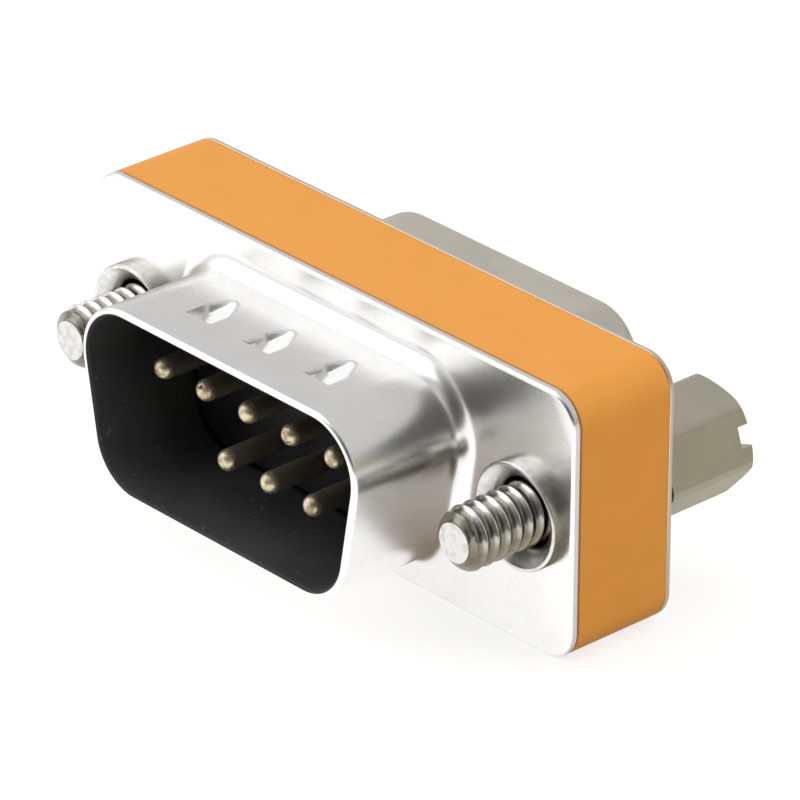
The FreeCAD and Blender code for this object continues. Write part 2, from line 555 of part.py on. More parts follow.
# Eyelets and jackscrews, one of each on either side
STUD_TIP = "(" + PLUG_FACE + " - Sizes.stud_reach)"
THREAD_END = "(" + PLUG_FACE + " + Sizes.thread_run_in)"
LIP_RADIUS = "(" + SHANK_RADIUS + " + Sizes.lip_fit)"
RING_TOP = "(" + PLUG_FACE + " - Sizes.ring_proud)"
for side, x, turn in (("left", "-" + SCREW_X, "Sizes.left_turn"), ("right", SCREW_X, "Sizes.right_turn")):
    eyelet = new_body("eyelet_" + side, x)
    sketch = new_sketch(eyelet, "EyeletSketch_" + side, "XY_Plane")
    polygon(sketch, [
        (EYELET_RADIUS, PLUG_FACE),
        (RING_RADIUS, PLUG_FACE),
        (RING_RADIUS, RING_TOP),
        (RING_RADIUS + " - Sizes.ring_crest - Sizes.ring_round", RING_TOP),
        (EYELET_RADIUS, RING_TOP + " + Sizes.mouth_drop"),
        (EYELET_BORE, RING_TOP + " + Sizes.mouth_drop + Sizes.eyelet_wall"),
        (EYELET_BORE, SOCKET_FACE + " + Sizes.flare_thickness - Sizes.lip_length"),
        (LIP_RADIUS, SOCKET_FACE + " + Sizes.flare_thickness - Sizes.lip_length"),
        (LIP_RADIUS, SOCKET_FACE + " + Sizes.flare_thickness"),
        (EYELET_RADIUS + " + Sizes.flare_width", SOCKET_FACE + " + Sizes.flare_thickness"),
        (EYELET_RADIUS + " + Sizes.flare_width", SOCKET_FACE),
        (EYELET_RADIUS, SOCKET_FACE),
    ])
    revolve(eyelet, "Eyelet_" + side, sketch)
    crest = value(RING_TOP)
    outer = 2 * value(RING_RADIUS)
    soften(eyelet, "RingRound_" + side, "Sizes.ring_round",
           lambda edge: lies_at(edge, crest) and abs(edge.BoundBox.ZLength - outer) < 1e-3)

    screw = new_body("jackscrew_" + side, x, turn)
    sketch = depth_sketch(screw, "PostSketch_" + side, POST_START)
    corners = []
    for i in range(6):
        angle = 30 + 60 * i
        size = "Sizes.post_flats / 2 / cos(30 deg)"
        corners.append((size + " * cos(%d deg)" % angle, size + " * sin(%d deg)" % angle))
    polygon(sketch, corners)
    pad(screw, "Post_" + side, sketch, POST_END + " - " + POST_START, backward=True)
    post_length = value(POST_END + " - " + POST_START)
    soften(screw, "PostEdges_" + side, "min(Sizes.post_edge_round; 0.45 * Sizes.post_flats)",
           lambda edge: abs(edge.BoundBox.YLength - post_length) < 1e-4)
    sketch = new_sketch(screw, "ShankSketch_" + side, "XY_Plane")
    polygon(sketch, [
        ("0", STUD_TIP),
        ("Sizes.stud_radius - Sizes.tip_step", STUD_TIP),
        ("Sizes.stud_radius", STUD_TIP + " + Sizes.stud_lead"),
        ("Sizes.stud_radius", RING_TOP + " - Sizes.run_out_gap"),
        ("Sizes.stud_radius - Sizes.run_out_step", RING_TOP + " - Sizes.run_out_gap"),
        ("Sizes.stud_radius - Sizes.run_out_step", THREAD_END),
        (SHANK_RADIUS, THREAD_END + " + Sizes.shank_step - Sizes.run_out_step"),
        (SHANK_RADIUS, POST_START),
        ("0", POST_START),
    ])
    revolve(screw, "Shank_" + side, sketch)
    sketch = new_sketch(screw, "TurnedSketch_" + side, "XY_Plane")
    corner = "Sizes.post_flats / 2 / cos(30 deg)"
    beyond = "(" + corner + " + Sizes.post_chamfer)"
    turned = "(Sizes.post_flats / 2 - Sizes.post_chamfer / 4)"
    slope = "(" + beyond + " - " + turned + ") * tan(35 deg)"
    polygon(sketch, [
        (turned, POST_END),
        (beyond, POST_END + " - " + slope),
        (beyond, POST_END + " + 1"),
        (turned, POST_END + " + 1"),
    ])
    revolve(screw, "Turned_" + side, sketch, groove=True)
    sketch = depth_sketch(screw, "TappedSketch_" + side, POST_END)
    circle(sketch, "0", "0", "Sizes.stud_radius - Sizes.thread_height")
    pocket(screw, "Tapped_" + side, sketch, POST_END + " - " + POST_START + " - Sizes.post_floor", backward=True)
    sketch = depth_sketch(screw, "SlotSketch_" + side, POST_END)
    half = "Sizes.slot_width / 2"
    polygon(sketch, [
        ("-Sizes.post_flats", "-" + half),
        ("Sizes.post_flats", "-" + half),
        ("Sizes.post_flats", half),
        ("-Sizes.post_flats", half),
    ])
    pocket(screw, "Slot_" + side, sketch, "Sizes.slot_depth", backward=True)

doc.recompute()
for item in doc.Objects:
    for flag in item.State:
        if flag in ("Invalid", "Error"):
            raise RuntimeError("%s is %s" % (item.Label, flag))
for body in parts:
    if body.Shape.isNull() or not body.Shape.isValid():
        raise RuntimeError("%s has no valid shape" % body.Label)
    if len(body.Shape.Solids) != 1:
        raise RuntimeError("%s has %d solids" % (body.Label, len(body.Shape.Solids)))

os.makedirs("parts", exist_ok=True)
for body in parts:
    body.Shape.exportStep("parts/" + body.Label + ".step")
    box = body.Shape.BoundBox
    print("%-18s %9.3f mm3  y %7.3f to %7.3f" % (body.Label, body.Shape.Volume, box.YMin, box.YMax))
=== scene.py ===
"""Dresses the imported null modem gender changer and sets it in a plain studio."""
import logging
import math
from collections.abc import Iterable, Sequence
from dataclasses import dataclass, field
from enum import Enum

import bmesh
import bpy
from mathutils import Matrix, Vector, geometry

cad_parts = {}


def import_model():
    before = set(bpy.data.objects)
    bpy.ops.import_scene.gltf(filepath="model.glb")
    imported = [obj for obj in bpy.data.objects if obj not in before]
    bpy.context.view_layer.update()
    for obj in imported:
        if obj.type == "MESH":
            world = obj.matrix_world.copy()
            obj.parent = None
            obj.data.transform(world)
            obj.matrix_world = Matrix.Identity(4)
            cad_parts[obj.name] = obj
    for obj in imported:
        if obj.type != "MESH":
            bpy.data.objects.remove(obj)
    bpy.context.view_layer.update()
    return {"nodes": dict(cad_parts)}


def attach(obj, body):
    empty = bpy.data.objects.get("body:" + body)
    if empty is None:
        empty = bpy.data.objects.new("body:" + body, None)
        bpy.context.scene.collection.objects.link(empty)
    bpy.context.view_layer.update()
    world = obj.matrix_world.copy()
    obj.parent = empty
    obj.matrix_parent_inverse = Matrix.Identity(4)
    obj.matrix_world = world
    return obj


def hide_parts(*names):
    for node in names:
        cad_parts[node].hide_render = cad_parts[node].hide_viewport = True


LOG = logging.getLogger("gender_changer")
MM = 0.001
SAME_POINT = 1e-7
SHORTEST_EDGE = 1e-8
ON_AXIS = 1e-9
Place = tuple[float, float]
Limits = tuple[float, float]
Colour = tuple[float, float, float]


class Facing(Enum):
    """Which way a shell points along the depth."""

    PLUG = -1
    SOCKET = 1


class Side(Enum):
    """Which jackscrew, by the sign of its place along X."""

    LEFT = -1
    RIGHT = 1


# Sizes that several pieces share, in millimetres


@dataclass(frozen=True)
class Layout:
    """Places shared by the sub-assemblies."""

    half_width: float = 15.405
    mid_height: float = 6.275
    corner: float = 1.55
    edge_runs: tuple[int, ...] = (30, 12, 30, 12)
    body_depth: float = 5.16
    screw_x: float = 12.495
    plug_sheet: float = 0.38
    socket_sheet: float = 0.3
    eyelet_radius: float = 1.86
    hole_fit: float = 0.03

    def back_of_flange(self, facing: Facing) -> float:
        """Depth of the plane between a flange and the plastic body."""
        return facing.value * self.body_depth / 2

    def face_of_flange(self, facing: Facing) -> float:
        """Depth of the outer face of a flange."""
        sheet = self.plug_sheet if facing is Facing.PLUG else self.socket_sheet
        return facing.value * (self.body_depth / 2 + sheet)

    def edge(self, corner_steps: int) -> "Outline":
        """Outer line of the flanges and of the plastic body."""
        return rounded_outline(self.half_width, self.mid_height, self.corner, 0.0, self.edge_runs,
                               corner_steps)

    def eyelet_hole(self, side: Side, steps: int) -> list[Place]:
        """Places round the hole for one eyelet."""
        radius = self.eyelet_radius + self.hole_fit
        return circle_places(side.value * self.screw_x, self.mid_height, radius, steps)


# Outlines across the depth


@dataclass(frozen=True)
class Outline:
    """Closed line of straight runs and corner arcs, with its outward normals."""

    places: tuple[Place, ...]
    normals: tuple[Place, ...]

    def grown(self, reach: float, lift: float) -> list[Place]:
        """The line moved outward by a distance and raised."""
        pairs = zip(self.places, self.normals)
        return [(x + nx * reach, z + nz * reach + lift) for (x, z), (nx, nz) in pairs]


def rounded_outline(half_width: float, half_height: float, corner: float, lean: float,
                    runs: Sequence[int], corner_steps: int) -> Outline:
    """Outline of a rounded rectangle, or of a D when its short sides lean.

    Args:
        half_width: Half of the width at the wide side.
        half_height: Half of the height.
        corner: Corner radius.
        lean: Lean of the short sides, in radians.
        runs: Number of divisions of the top, left, bottom and right run.
        corner_steps: Number of divisions of each corner.

    Returns:
        The outline about the origin.
    """
    top = half_width - corner
    rise = half_height - corner
    bottom = top - 2 * rise * math.tan(lean)
    arcs = [
        (top, rise, -lean, math.pi / 2),
        (-top, rise, math.pi / 2, math.pi + lean),
        (-bottom, -rise, math.pi + lean, 1.5 * math.pi),
        (bottom, -rise, 1.5 * math.pi, 2 * math.pi - lean),
    ]
    places: list[Place] = []
    normals: list[Place] = []
    for index, (cx, cz, start, stop) in enumerate(arcs):
        for step in range(corner_steps + 1):
            angle = start + (stop - start) * step / corner_steps
            nx, nz = math.cos(angle), math.sin(angle)
            places.append((cx + corner * nx, cz + corner * nz))
            normals.append((nx, nz))
        after = arcs[(index + 1) % 4]
        nx, nz = math.cos(stop), math.sin(stop)
        begin = (cx + corner * nx, cz + corner * nz)
        finish = (after[0] + corner * math.cos(after[2]), after[1] + corner * math.sin(after[2]))
        for step in range(1, runs[index]):
            part = step / runs[index]
            places.append((begin[0] + (finish[0] - begin[0]) * part,
                           begin[1] + (finish[1] - begin[1]) * part))
            normals.append((nx, nz))
    return Outline(tuple(places), tuple(normals))


def circle_places(x: float, z: float, radius: float, steps: int) -> list[Place]:
    """Places on a circle across the depth."""
    turn = 2 * math.pi / steps
    return [(x + radius * math.cos(i * turn), z + radius * math.sin(i * turn)) for i in range(steps)]


def inside(place: Place, loop: Sequence[Place]) -> bool:
    """Tells whether a place lies within a closed line.

    Args:
        place: Place across the depth.
        loop: Places of the line.

    Returns:
        True when it does.
    """
    x, z = place
    found = False
    for (ax, az), (bx, bz) in zip(loop, list(loop[1:]) + [loop[0]]):
        if (az > z) != (bz > z) and x < (bx - ax) * (z - az) / (bz - az) + ax:
            found = not found
    return found


def arc_steps(start: float, stop: float, count: int) -> list[float]:
    """Angles in radians from start to stop, which are in degrees and both included."""
    return [math.radians(start + (stop - start) * i / count) for i in range(count + 1)]


# Mesh drafting, in millimetres


@dataclass
class Draft:
    """Collects the points and faces of one mesh."""

    points: list[Vector] = field(default_factory=list)
    faces: list[tuple[int, ...]] = field(default_factory=list)
    tags: list[int] = field(default_factory=list)

    def ring(self, places: Iterable[Place], depth: float | Sequence[float]) -> list[int]:
        """Adds a closed line of points at one depth, or at one depth for each point.

        Args:
            places: Places across the depth.
            depth: Depth of all points, or a depth for each.

        Returns:
            Indices of the new points.
        """
        first = len(self.points)
        for i, (x, z) in enumerate(places):
            y = depth if isinstance(depth, (int, float)) else depth[i]
            self.points.append(Vector((x, y, z)))
        return list(range(first, len(self.points)))

    def bridge(self, first: Sequence[int], second: Sequence[int], tag: int = 0) -> None:
        """Joins two rings of equal length by quads.

        Args:
            first: One ring.
            second: The other ring.
            tag: Material place of the new faces.
        """
        count = len(first)
        for i in range(count):
            j = (i + 1) % count
            self.faces.append((first[i], first[j], second[j], second[i]))
            self.tags.append(tag)

    def tube(self, rings: Sequence[Sequence[int]], tag: int = 0) -> None:
        """Joins each ring to the next."""
        for first, second in zip(rings, rings[1:]):
            self.bridge(first, second, tag)

    def lid(self, ring: Sequence[int], tag: int = 0) -> None:
        """Closes a ring by one face."""
        self.faces.append(tuple(ring))
        self.tags.append(tag)

    def plate(self, outer: Sequence[int], holes: Sequence[Sequence[int]], tag: int = 0) -> None:
        """Fills the flat area between a ring and the holes in it by triangles.

        Args:
            outer: Ring of the outer boundary.
            holes: Rings of the holes.
            tag: Material place of the new faces.
        """
        order: list[int] = []
        edges: list[tuple[int, int]] = []
        loops: list[list[Place]] = []
        for ring in [outer, *holes]:
            first = len(order)
            order.extend(ring)
            edges.extend((first + i, first + (i + 1) % len(ring)) for i in range(len(ring)))
            loops.append([(self.points[k].x, self.points[k].z) for k in ring])
        flat = [Vector((self.points[k].x, self.points[k].z)) for k in order]
        found = geometry.delaunay_2d_cdt(flat, edges, [], 0, SAME_POINT)
        spots, triangles, sources = found[0], found[2], found[3]
        for triangle in triangles:
            middle = (sum(spots[k].x for k in triangle) / 3, sum(spots[k].y for k in triangle) / 3)
            if inside(middle, loops[0]) and not any(inside(middle, loop) for loop in loops[1:]):
                self.faces.append(tuple(order[sources[k][0]] for k in triangle))
                self.tags.append(tag)

    def lathe(self, profile: Sequence[Place], x: float, z: float, steps: int, tag: int = 0,
              closed: bool = True) -> None:
        """Turns a profile of radius and depth about a line along the depth.

        Args:
            profile: Pairs of radius and depth. A radius of zero closes the end.
            x: Place of the line along X.
            z: Place of the line along Z.
            steps: Divisions of the full turn.
            tag: Material place of the new faces.
            closed: Whether the last pair joins the first.
        """
        rings: list[list[int]] = []
        for radius, depth in profile:
            if radius > ON_AXIS:
                rings.append(self.ring(circle_places(x, z, radius, steps), depth))
            else:
                self.points.append(Vector((x, depth, z)))
                rings.append([len(self.points) - 1])
        pairs = list(zip(rings, rings[1:] + ([rings[0]] if closed else [])))
        for first, second in pairs:
            if len(first) > 1 and len(second) > 1:
                self.bridge(first, second, tag)
            elif len(first) > 1 or len(second) > 1:
                pole, rim = (first, second) if len(first) == 1 else (second, first)
                for i in range(len(rim)):
                    self.faces.append((pole[0], rim[i], rim[(i + 1) % len(rim)]))
                    self.tags.append(tag)

    def piece(self, name: str, finishes: Sequence[bpy.types.Material],
              crease: float = 32.0) -> bpy.types.Object:
        """Makes the object, in metres, with outward faces and even shading.

        Args:
            name: Name of the piece.
            finishes: Materials in the order of the tags.
            crease: Angle in degrees past which an edge stays sharp.

        Returns:
            The finished object at the origin.
        """
        mesh = bpy.data.meshes.new(name)
        mesh.from_pydata([p * MM for p in self.points], [], self.faces)
        for finish in finishes:
            mesh.materials.append(finish)
        mesh.polygons.foreach_set("material_index", self.tags)
        made = bpy.data.objects.new(name, mesh)
        bpy.context.scene.collection.objects.link(made)
        return settled(made, crease)


def settled(made: bpy.types.Object, crease: float) -> bpy.types.Object:
    """Merges doubles, turns faces outward and weights the normals by area.

    Args:
        made: The object to finish.
        crease: Angle in degrees past which an edge stays sharp.

    Returns:
        The same object with a plain mesh.
    """
    work = bmesh.new()
    work.from_mesh(made.data)
    bmesh.ops.remove_doubles(work, verts=work.verts, dist=SAME_POINT)
    bmesh.ops.dissolve_degenerate(work, edges=work.edges, dist=SHORTEST_EDGE)
    bmesh.ops.recalc_face_normals(work, faces=work.faces)
    work.to_mesh(made.data)
    work.free()
    made.data.shade_smooth()
    made.data.set_sharp_from_angle(angle=math.radians(crease))
    weights = made.modifiers.new("even_normals", "WEIGHTED_NORMAL")
    weights.keep_sharp = True
    return applied(made)


def applied(made: bpy.types.Object) -> bpy.types.Object:
    """Turns an object with modifiers into a plain mesh.

    Args:
        made: The object.

    Returns:
        The same object without modifiers.
    """
    bpy.context.view_layer.update()
    graph = bpy.context.evaluated_depsgraph_get()
    plain = bpy.data.meshes.new_from_object(made.evaluated_get(graph), depsgraph=graph)
    plain.name = made.name
    made.modifiers.clear()
    old = made.data
    made.data = plain
    bpy.data.meshes.remove(old)
    return made


def removed(made: bpy.types.Object) -> None:
    """Removes an object that was only a tool, with its mesh."""
    mesh = made.data
    bpy.data.objects.remove(made)
    bpy.data.meshes.remove(mesh)


def carve(base: bpy.types.Object, tool: bpy.types.Object, operation: str) -> None:
    """Cuts one object by another, or keeps what they share, and removes the tool.

    Args:
        base: The object to cut.
        tool: The object to cut it by.
        operation: Operation of the Boolean modifier.
    """
    step = base.modifiers.new("carve", "BOOLEAN")
    step.object = tool
    step.operation = operation
    step.solver = "EXACT"
    applied(base)
    removed(tool)


# Node drafting


class Signal:
    """The output of a node, which takes part in ordinary expressions."""

    def __init__(self, tree: "Bench", socket: bpy.types.NodeSocket) -> None:
        """Wraps an output socket of a tree."""
        self.tree = tree
        self.socket = socket

    def math(self, operation: str, *others: "Signal | float", flipped: bool = False) -> "Signal":
        """Adds a Math node for this value and any others.

        Args:
            operation: Operation of the node.
            others: Further values, in order.
            flipped: Whether this value comes last.

        Returns:
            The result.
        """
        values = (*others, self) if flipped else (self, *others)
        return self.tree.node("ShaderNodeMath", {"operation": operation}, dict(enumerate(values)))

    def __add__(self, other: "Signal | float") -> "Signal":
        """Sum."""
        return self.math("ADD", other)

    __radd__ = __add__

    def __sub__(self, other: "Signal | float") -> "Signal":
        """Difference."""
        return self.math("SUBTRACT", other)

    def __rsub__(self, other: float) -> "Signal":
        """Difference with a number first."""
        return self.math("SUBTRACT", other, flipped=True)

    def __mul__(self, other: "Signal | float") -> "Signal":
        """Product."""
        return self.math("MULTIPLY", other)

    __rmul__ = __mul__

    def __truediv__(self, other: "Signal | float") -> "Signal":
        """Quotient."""
        return self.math("DIVIDE", other)

    def __rtruediv__(self, other: float) -> "Signal":
        """Quotient with a number first."""
        return self.math("DIVIDE", other, flipped=True)

    def ramp(self, low: float, high: float) -> "Signal":
        """Rises smoothly from nothing at low to one at high."""
        limits = {"From Min": low, "From Max": high, "To Min": 0.0, "To Max": 1.0}
        return self.tree.node("ShaderNodeMapRange", {"interpolation_type": "SMOOTHSTEP"},
                              {"Value": self, **limits})


class Bench:
    """Adds nodes to one tree, of a shader or of geometry."""

    def __init__(self, tree: bpy.types.NodeTree) -> None:
        """Takes the tree to work on."""
        self.nodes = tree.nodes
        self.links = tree.links

    def node(self, kind: str, settings: dict[str, object], inputs: dict[object, object],
             output: object = 0) -> Signal:
        """Adds a node.

        Args:
            kind: Type of the node.
            settings: Properties, set before the sockets.
            inputs: Values or signals by socket name or number.
            output: Name or number of the socket that is returned.

        Returns:
            The chosen output.
        """
        made = self.nodes.new(kind)
        for key, setting in settings.items():
            setattr(made, key, setting)
        for key, given in inputs.items():
            socket = made.inputs[key]
            if isinstance(given, Signal):
                self.links.new(given.socket, socket)
            else:
                socket.default_value = given
        return Signal(self, made.outputs[output])

    def mixed(self, kind: str, share: Signal | float, *colours: Sequence[float] | Signal) -> Signal:
        """Mixes two colours, the plain ones among them without transparency."""
        first, second = (given if isinstance(given, Signal) else (*given, 1.0) for given in colours)
        return self.node("ShaderNodeMix", {"data_type": "RGBA", "blend_type": kind},
                         {0: share, 6: first, 7: second}, 2)

    def blend(self, first: Sequence[float] | Signal, second: Sequence[float] | Signal,
              share: Signal) -> Signal:
        """Mixes two colours by a share."""
        return self.mixed("MIX", share, first, second)

    def product(self, first: Signal, second: Signal) -> Signal:
        """Multiplies two colours."""
        return self.mixed("MULTIPLY", 1.0, first, second)

    def part(self, vector: Signal, axis: str) -> Signal:
        """One coordinate of a vector."""
        return self.node("ShaderNodeSeparateXYZ", {}, {0: vector}, axis)

    def towards(self, vector: Signal, way: Sequence[float]) -> Signal:
        """How far a vector points along a direction."""
        return self.node("ShaderNodeVectorMath", {"operation": "DOT_PRODUCT"}, {0: vector, 1: way}, "Value")

    def ray(self, kind: str) -> Signal:
        """Tells what kind of ray arrives, or how often it has bounced."""
        return self.node("ShaderNodeLightPath", {}, {}, kind)


class Mixture(Bench):
    """The node tree of one material, with its main shader."""

    def __init__(self, name: str) -> None:
        """Makes an empty material with a Principled shader."""
        self.material = bpy.data.materials.new(name)
        self.material.use_nodes = True
        super().__init__(self.material.node_tree)
        self.shader = next(n for n in self.nodes if n.type == "BSDF_PRINCIPLED")
        self.place = self.node("ShaderNodeTexCoord", {}, {}, "Object")

    def noise(self, scale: float, detail: float = 2.0, rough: float = 0.5) -> Signal:
        """Smooth noise with features of about one over the scale, in metres."""
        return self.node("ShaderNodeTexNoise", {},
                         {"Vector": self.place, "Scale": scale, "Detail": detail, "Roughness": rough}, "Fac")

    def varied(self, socket: str, signal: Signal) -> None:
        """Feeds a signal to a socket of the main shader."""
        self.links.new(signal.socket, self.shader.inputs[socket])

    def relief(self, height: Signal) -> None:
        """Feeds a height, in millimetres, to the shader's normal."""
        bump = self.node("ShaderNodeBump", {}, {"Height": height, "Strength": 1.0, "Distance": MM}, "Normal")
        self.varied("Normal", bump)

    def plain(self, **values: object) -> None:
        """Sets sockets of the main shader that are the same all over."""
        for name, given in values.items():
            self.shader.inputs[name.replace("_", " ").title().replace("Ior", "IOR")].default_value = given


# Finishes, with noise scales for metres and depths in millimetres


@dataclass(frozen=True)
class MetalFinish:
    """Plated metal with soft unevenness, fine grain and faint stains."""

    name: str
    light: Colour
    dark: Colour
    roughness: float
    spread: float
    wave: float
    grain: float
    wave_scale: float = 260.0
    grain_scale: float = 9000.0
    grain_spread: float = 0.06
    patch_scale: float = 420.0
    patch_limits: Limits = (0.32, 0.62)
    stain: Colour = (0.5, 0.49, 0.47)
    stain_share: float = 0.3
    stain_scale: float = 1500.0
    stain_limits: Limits = (0.54, 0.74)

    def material(self) -> bpy.types.Material:
        """Builds the material.

        Returns:
            The finished material.
        """
        mix = Mixture(self.name)
        broad = mix.noise(self.wave_scale, 2.0)
        fine = mix.noise(self.grain_scale, 3.0)
        stains = mix.noise(self.stain_scale, 4.0, 0.65).ramp(*self.stain_limits) * self.stain_share
        patches = mix.noise(self.patch_scale, 3.0).ramp(*self.patch_limits)
        plate = mix.blend(self.dark, self.light, patches)
        gloss = self.roughness + (broad - 0.5) * self.spread + (fine - 0.5) * self.grain_spread
        mix.plain(metallic=1.0)
        mix.varied("Base Color", mix.blend(plate, self.stain, stains))
        mix.varied("Roughness", gloss)
        mix.relief(broad * self.wave + fine * self.grain)
        return mix.material


@dataclass(frozen=True)
class TurnedFinish:
    """Plated metal of a turned piece, whose tone changes with the distance from its axis. This paints shade:
    on the stud the dark inner colour is painted shade in the thread's grooves, and on the eyelet the darker,
    olive outer colour is a painted reflection on its outer side wall. Painted shade also darkens the lower
    side of both.
    """

    name: str
    # Inner and outer colours: on the stud the dark inner colour is painted shade in the grooves; on the
    # eyelet the outer colour is a painted reflection on the outer wall.
    inner: Colour
    outer: Colour
    inner_radius: float
    outer_radius: float
    roughness: float
    spread: float = 0.12
    wave: float = 0.006
    wave_scale: float = 700.0
    grain: float = 0.002
    grain_scale: float = 9000.0
    # Painted shade: this colour darkens the lower side of the piece, fading out between the two heights
    # below, measured up from the axis in millimetres.
    shade_below: Colour = (0.22, 0.19, 0.135)
    shade_below_inner_share: float = 0.0
    shade_below_outer_share: float = 0.9
    shade_below_low: float = -0.6
    shade_below_high: float = 0.7
    face: Colour = (0.66, 0.66, 0.65)
    face_depth: float = -20.0
    face_fade: float = 0.03
    mottle: Colour = (0.82, 0.81, 0.79)
    mottle_scale: float = 2600.0
    mottle_limits: Limits = (0.42, 0.66)
    axis_x: float = 12.495
    axis_height: float = 6.275

    def material(self) -> bpy.types.Material:
        """Builds the material.

        Returns:
            The finished material.
        """
        mix = Mixture(self.name)
        x, y, z = (mix.part(mix.place, axis) for axis in "XYZ")
        across = x.math("ABSOLUTE") - self.axis_x * MM
        rise = z - self.axis_height * MM
        radius = (across * across + rise * rise).math("SQRT")
        # Painted shade by radius: darker grooves on the stud, and a darker olive outer wall on the eyelet as
        # a painted reflection.
        tone = radius.ramp(self.inner_radius * MM, self.outer_radius * MM)
        at_face = 1.0 - y.ramp(self.face_depth * MM, (self.face_depth + self.face_fade) * MM)
        broad = mix.noise(self.wave_scale, 2.0)
        mottled = mix.noise(self.mottle_scale, 3.0).ramp(*self.mottle_limits)
        # Painted shade on the lower side, darker towards the bottom.
        share = self.shade_below_inner_share + tone * (self.shade_below_outer_share - self.shade_below_inner_share)
        shading_below = (1.0 - rise.ramp(self.shade_below_low * MM, self.shade_below_high * MM)) * share
        plate = mix.blend(mix.blend(self.inner, self.outer, tone), self.shade_below, shading_below)
        # The end face keeps its own paler colour over the painted shade.
        worn = mix.blend(plate, self.face, at_face)
        mix.plain(metallic=1.0)
        mix.varied("Base Color", mix.product(worn, mix.blend((1.0, 1.0, 1.0), self.mottle, mottled)))
        mix.varied("Roughness", self.roughness + (broad - 0.5) * self.spread)
        mix.relief(broad * self.wave + mix.noise(self.grain_scale, 3.0) * self.grain)
        return mix.material


@dataclass(frozen=True)
class PinFinish:
    """Thin mottled gold plate at the domed tip that turns to a dull, darker bronze along the shaft, which is
    partly duller plating and partly painted shade inside the mouth.
    """

    name: str = "gold_plate"
    tip: Colour = (0.80, 0.69, 0.49)
    worn: Colour = (0.38, 0.30, 0.18)
    pit: Colour = (0.05, 0.04, 0.03)
    # Partly duller plating and partly painted shade of the mouth.
    shaft: Colour = (0.25, 0.218, 0.172)
    tip_end: float = -7.8
    dome: float = 0.38
    fade: float = 0.2
    mottle_scale: float = 3000.0
    mottle_limits: Limits = (0.42, 0.66)
    pit_scale: float = 4200.0
    pit_limits: Limits = (0.66, 0.72)
    metallic: float = 0.72
    metallic_drop: float = 0.3
    roughness: float = 0.36
    spread: float = 0.2
    grain: float = 0.003
    grain_scale: float = 6000.0

    def material(self) -> bpy.types.Material:
        """Builds the material.

        Returns:
            The finished material.
        """
        mix = Mixture(self.name)
        begin = self.tip_end + self.dome
        along = mix.part(mix.place, "Y").ramp(begin * MM, (begin + self.fade) * MM)
        mottle = mix.noise(self.mottle_scale, 3.0)
        bright = mix.blend(self.tip, self.worn, mottle.ramp(*self.mottle_limits))
        pitted = mix.blend(bright, self.pit, mix.noise(self.pit_scale, 2.0).ramp(*self.pit_limits))
        # Painted shade along the shaft, partly duller plating: darker and less metallic behind the dome.
        mix.varied("Metallic", self.metallic - along * self.metallic_drop)
        mix.varied("Base Color", mix.blend(pitted, self.shaft, along))
        mix.varied("Roughness", self.roughness + (mottle - 0.5) * self.spread)
        mix.relief(mix.noise(self.grain_scale, 3.0) * self.grain)
        return mix.material


@dataclass(frozen=True)
class PlasticFinish:
    """Moulded plastic with a faint texture and slow changes of tone."""

    name: str
    light: Colour
    dark: Colour
    roughness: float
    texture: float
    specular: float = 0.4
    spread: float = 0.12
    texture_scale: float = 5200.0
    mottle_scale: float = 500.0
    mottle_limits: Limits = (0.3, 0.7)

    def material(self) -> bpy.types.Material:
        """Builds the material.

        Returns:
            The finished material.
        """
        mix = Mixture(self.name)
        mottle = mix.noise(self.mottle_scale, 3.0)
        mix.plain(metallic=0.0, specular_ior_level=self.specular)
        mix.varied("Base Color", mix.blend(self.dark, self.light, mottle.ramp(*self.mottle_limits)))
        mix.varied("Roughness", self.roughness + (mottle - 0.5) * self.spread)
        mix.relief(mix.noise(self.texture_scale, 2.0) * self.texture)
        return mix.material


@dataclass(frozen=True)
class ShadedInsideFinish:
    """Painted shade on the inside walls of the plug's metal mouth: a dull near-black, with pale specks of
    dust and a darker painted shade in the strip beside the insulator.
    """

    name: str = "black_inside"
    # Painted shade: the metal walls inside the mouth are painted near black.
    base: Colour = (0.068, 0.068, 0.069)
    lift: float = 1.25
    cloud_scale: float = 340.0
    cloud_limits: Limits = (0.35, 0.7)
    speck: Colour = (0.15, 0.15, 0.145)
    speck_scale: float = 2600.0
    speck_limits: Limits = (0.66, 0.74)
    # Painted shade in the corner strip next to the insulator.
    corner: Colour = (0.008, 0.008, 0.008)
    corner_shade_limits: Limits = (-3.86, -3.56)
    specular: float = 0.15
    roughness: float = 0.6
    spread: float = 0.2
    texture: float = 0.004
    texture_scale: float = 4200.0

    def material(self) -> bpy.types.Material:
        """Builds the material.

        Returns:
            The finished material.
        """
        mix = Mixture(self.name)
        cloud = mix.noise(self.cloud_scale, 3.0)
        pale = tuple(self.lift * part for part in self.base)
        shade = mix.blend(self.base, pale, cloud.ramp(*self.cloud_limits))
        dusty = mix.blend(shade, self.speck, mix.noise(self.speck_scale, 2.0).ramp(*self.speck_limits))
        # Painted shade: darker strip on the walls next to the insulator.
        corner_shade = mix.part(mix.place, "Y").ramp(*(MM * depth for depth in self.corner_shade_limits))
        mix.plain(metallic=0.0, specular_ior_level=self.specular)
        mix.varied("Base Color", mix.blend(dusty, self.corner, corner_shade))
        mix.varied("Roughness", self.roughness + (cloud - 0.5) * self.spread)
        mix.relief(mix.noise(self.texture_scale, 2.0) * self.texture)
        return mix.material


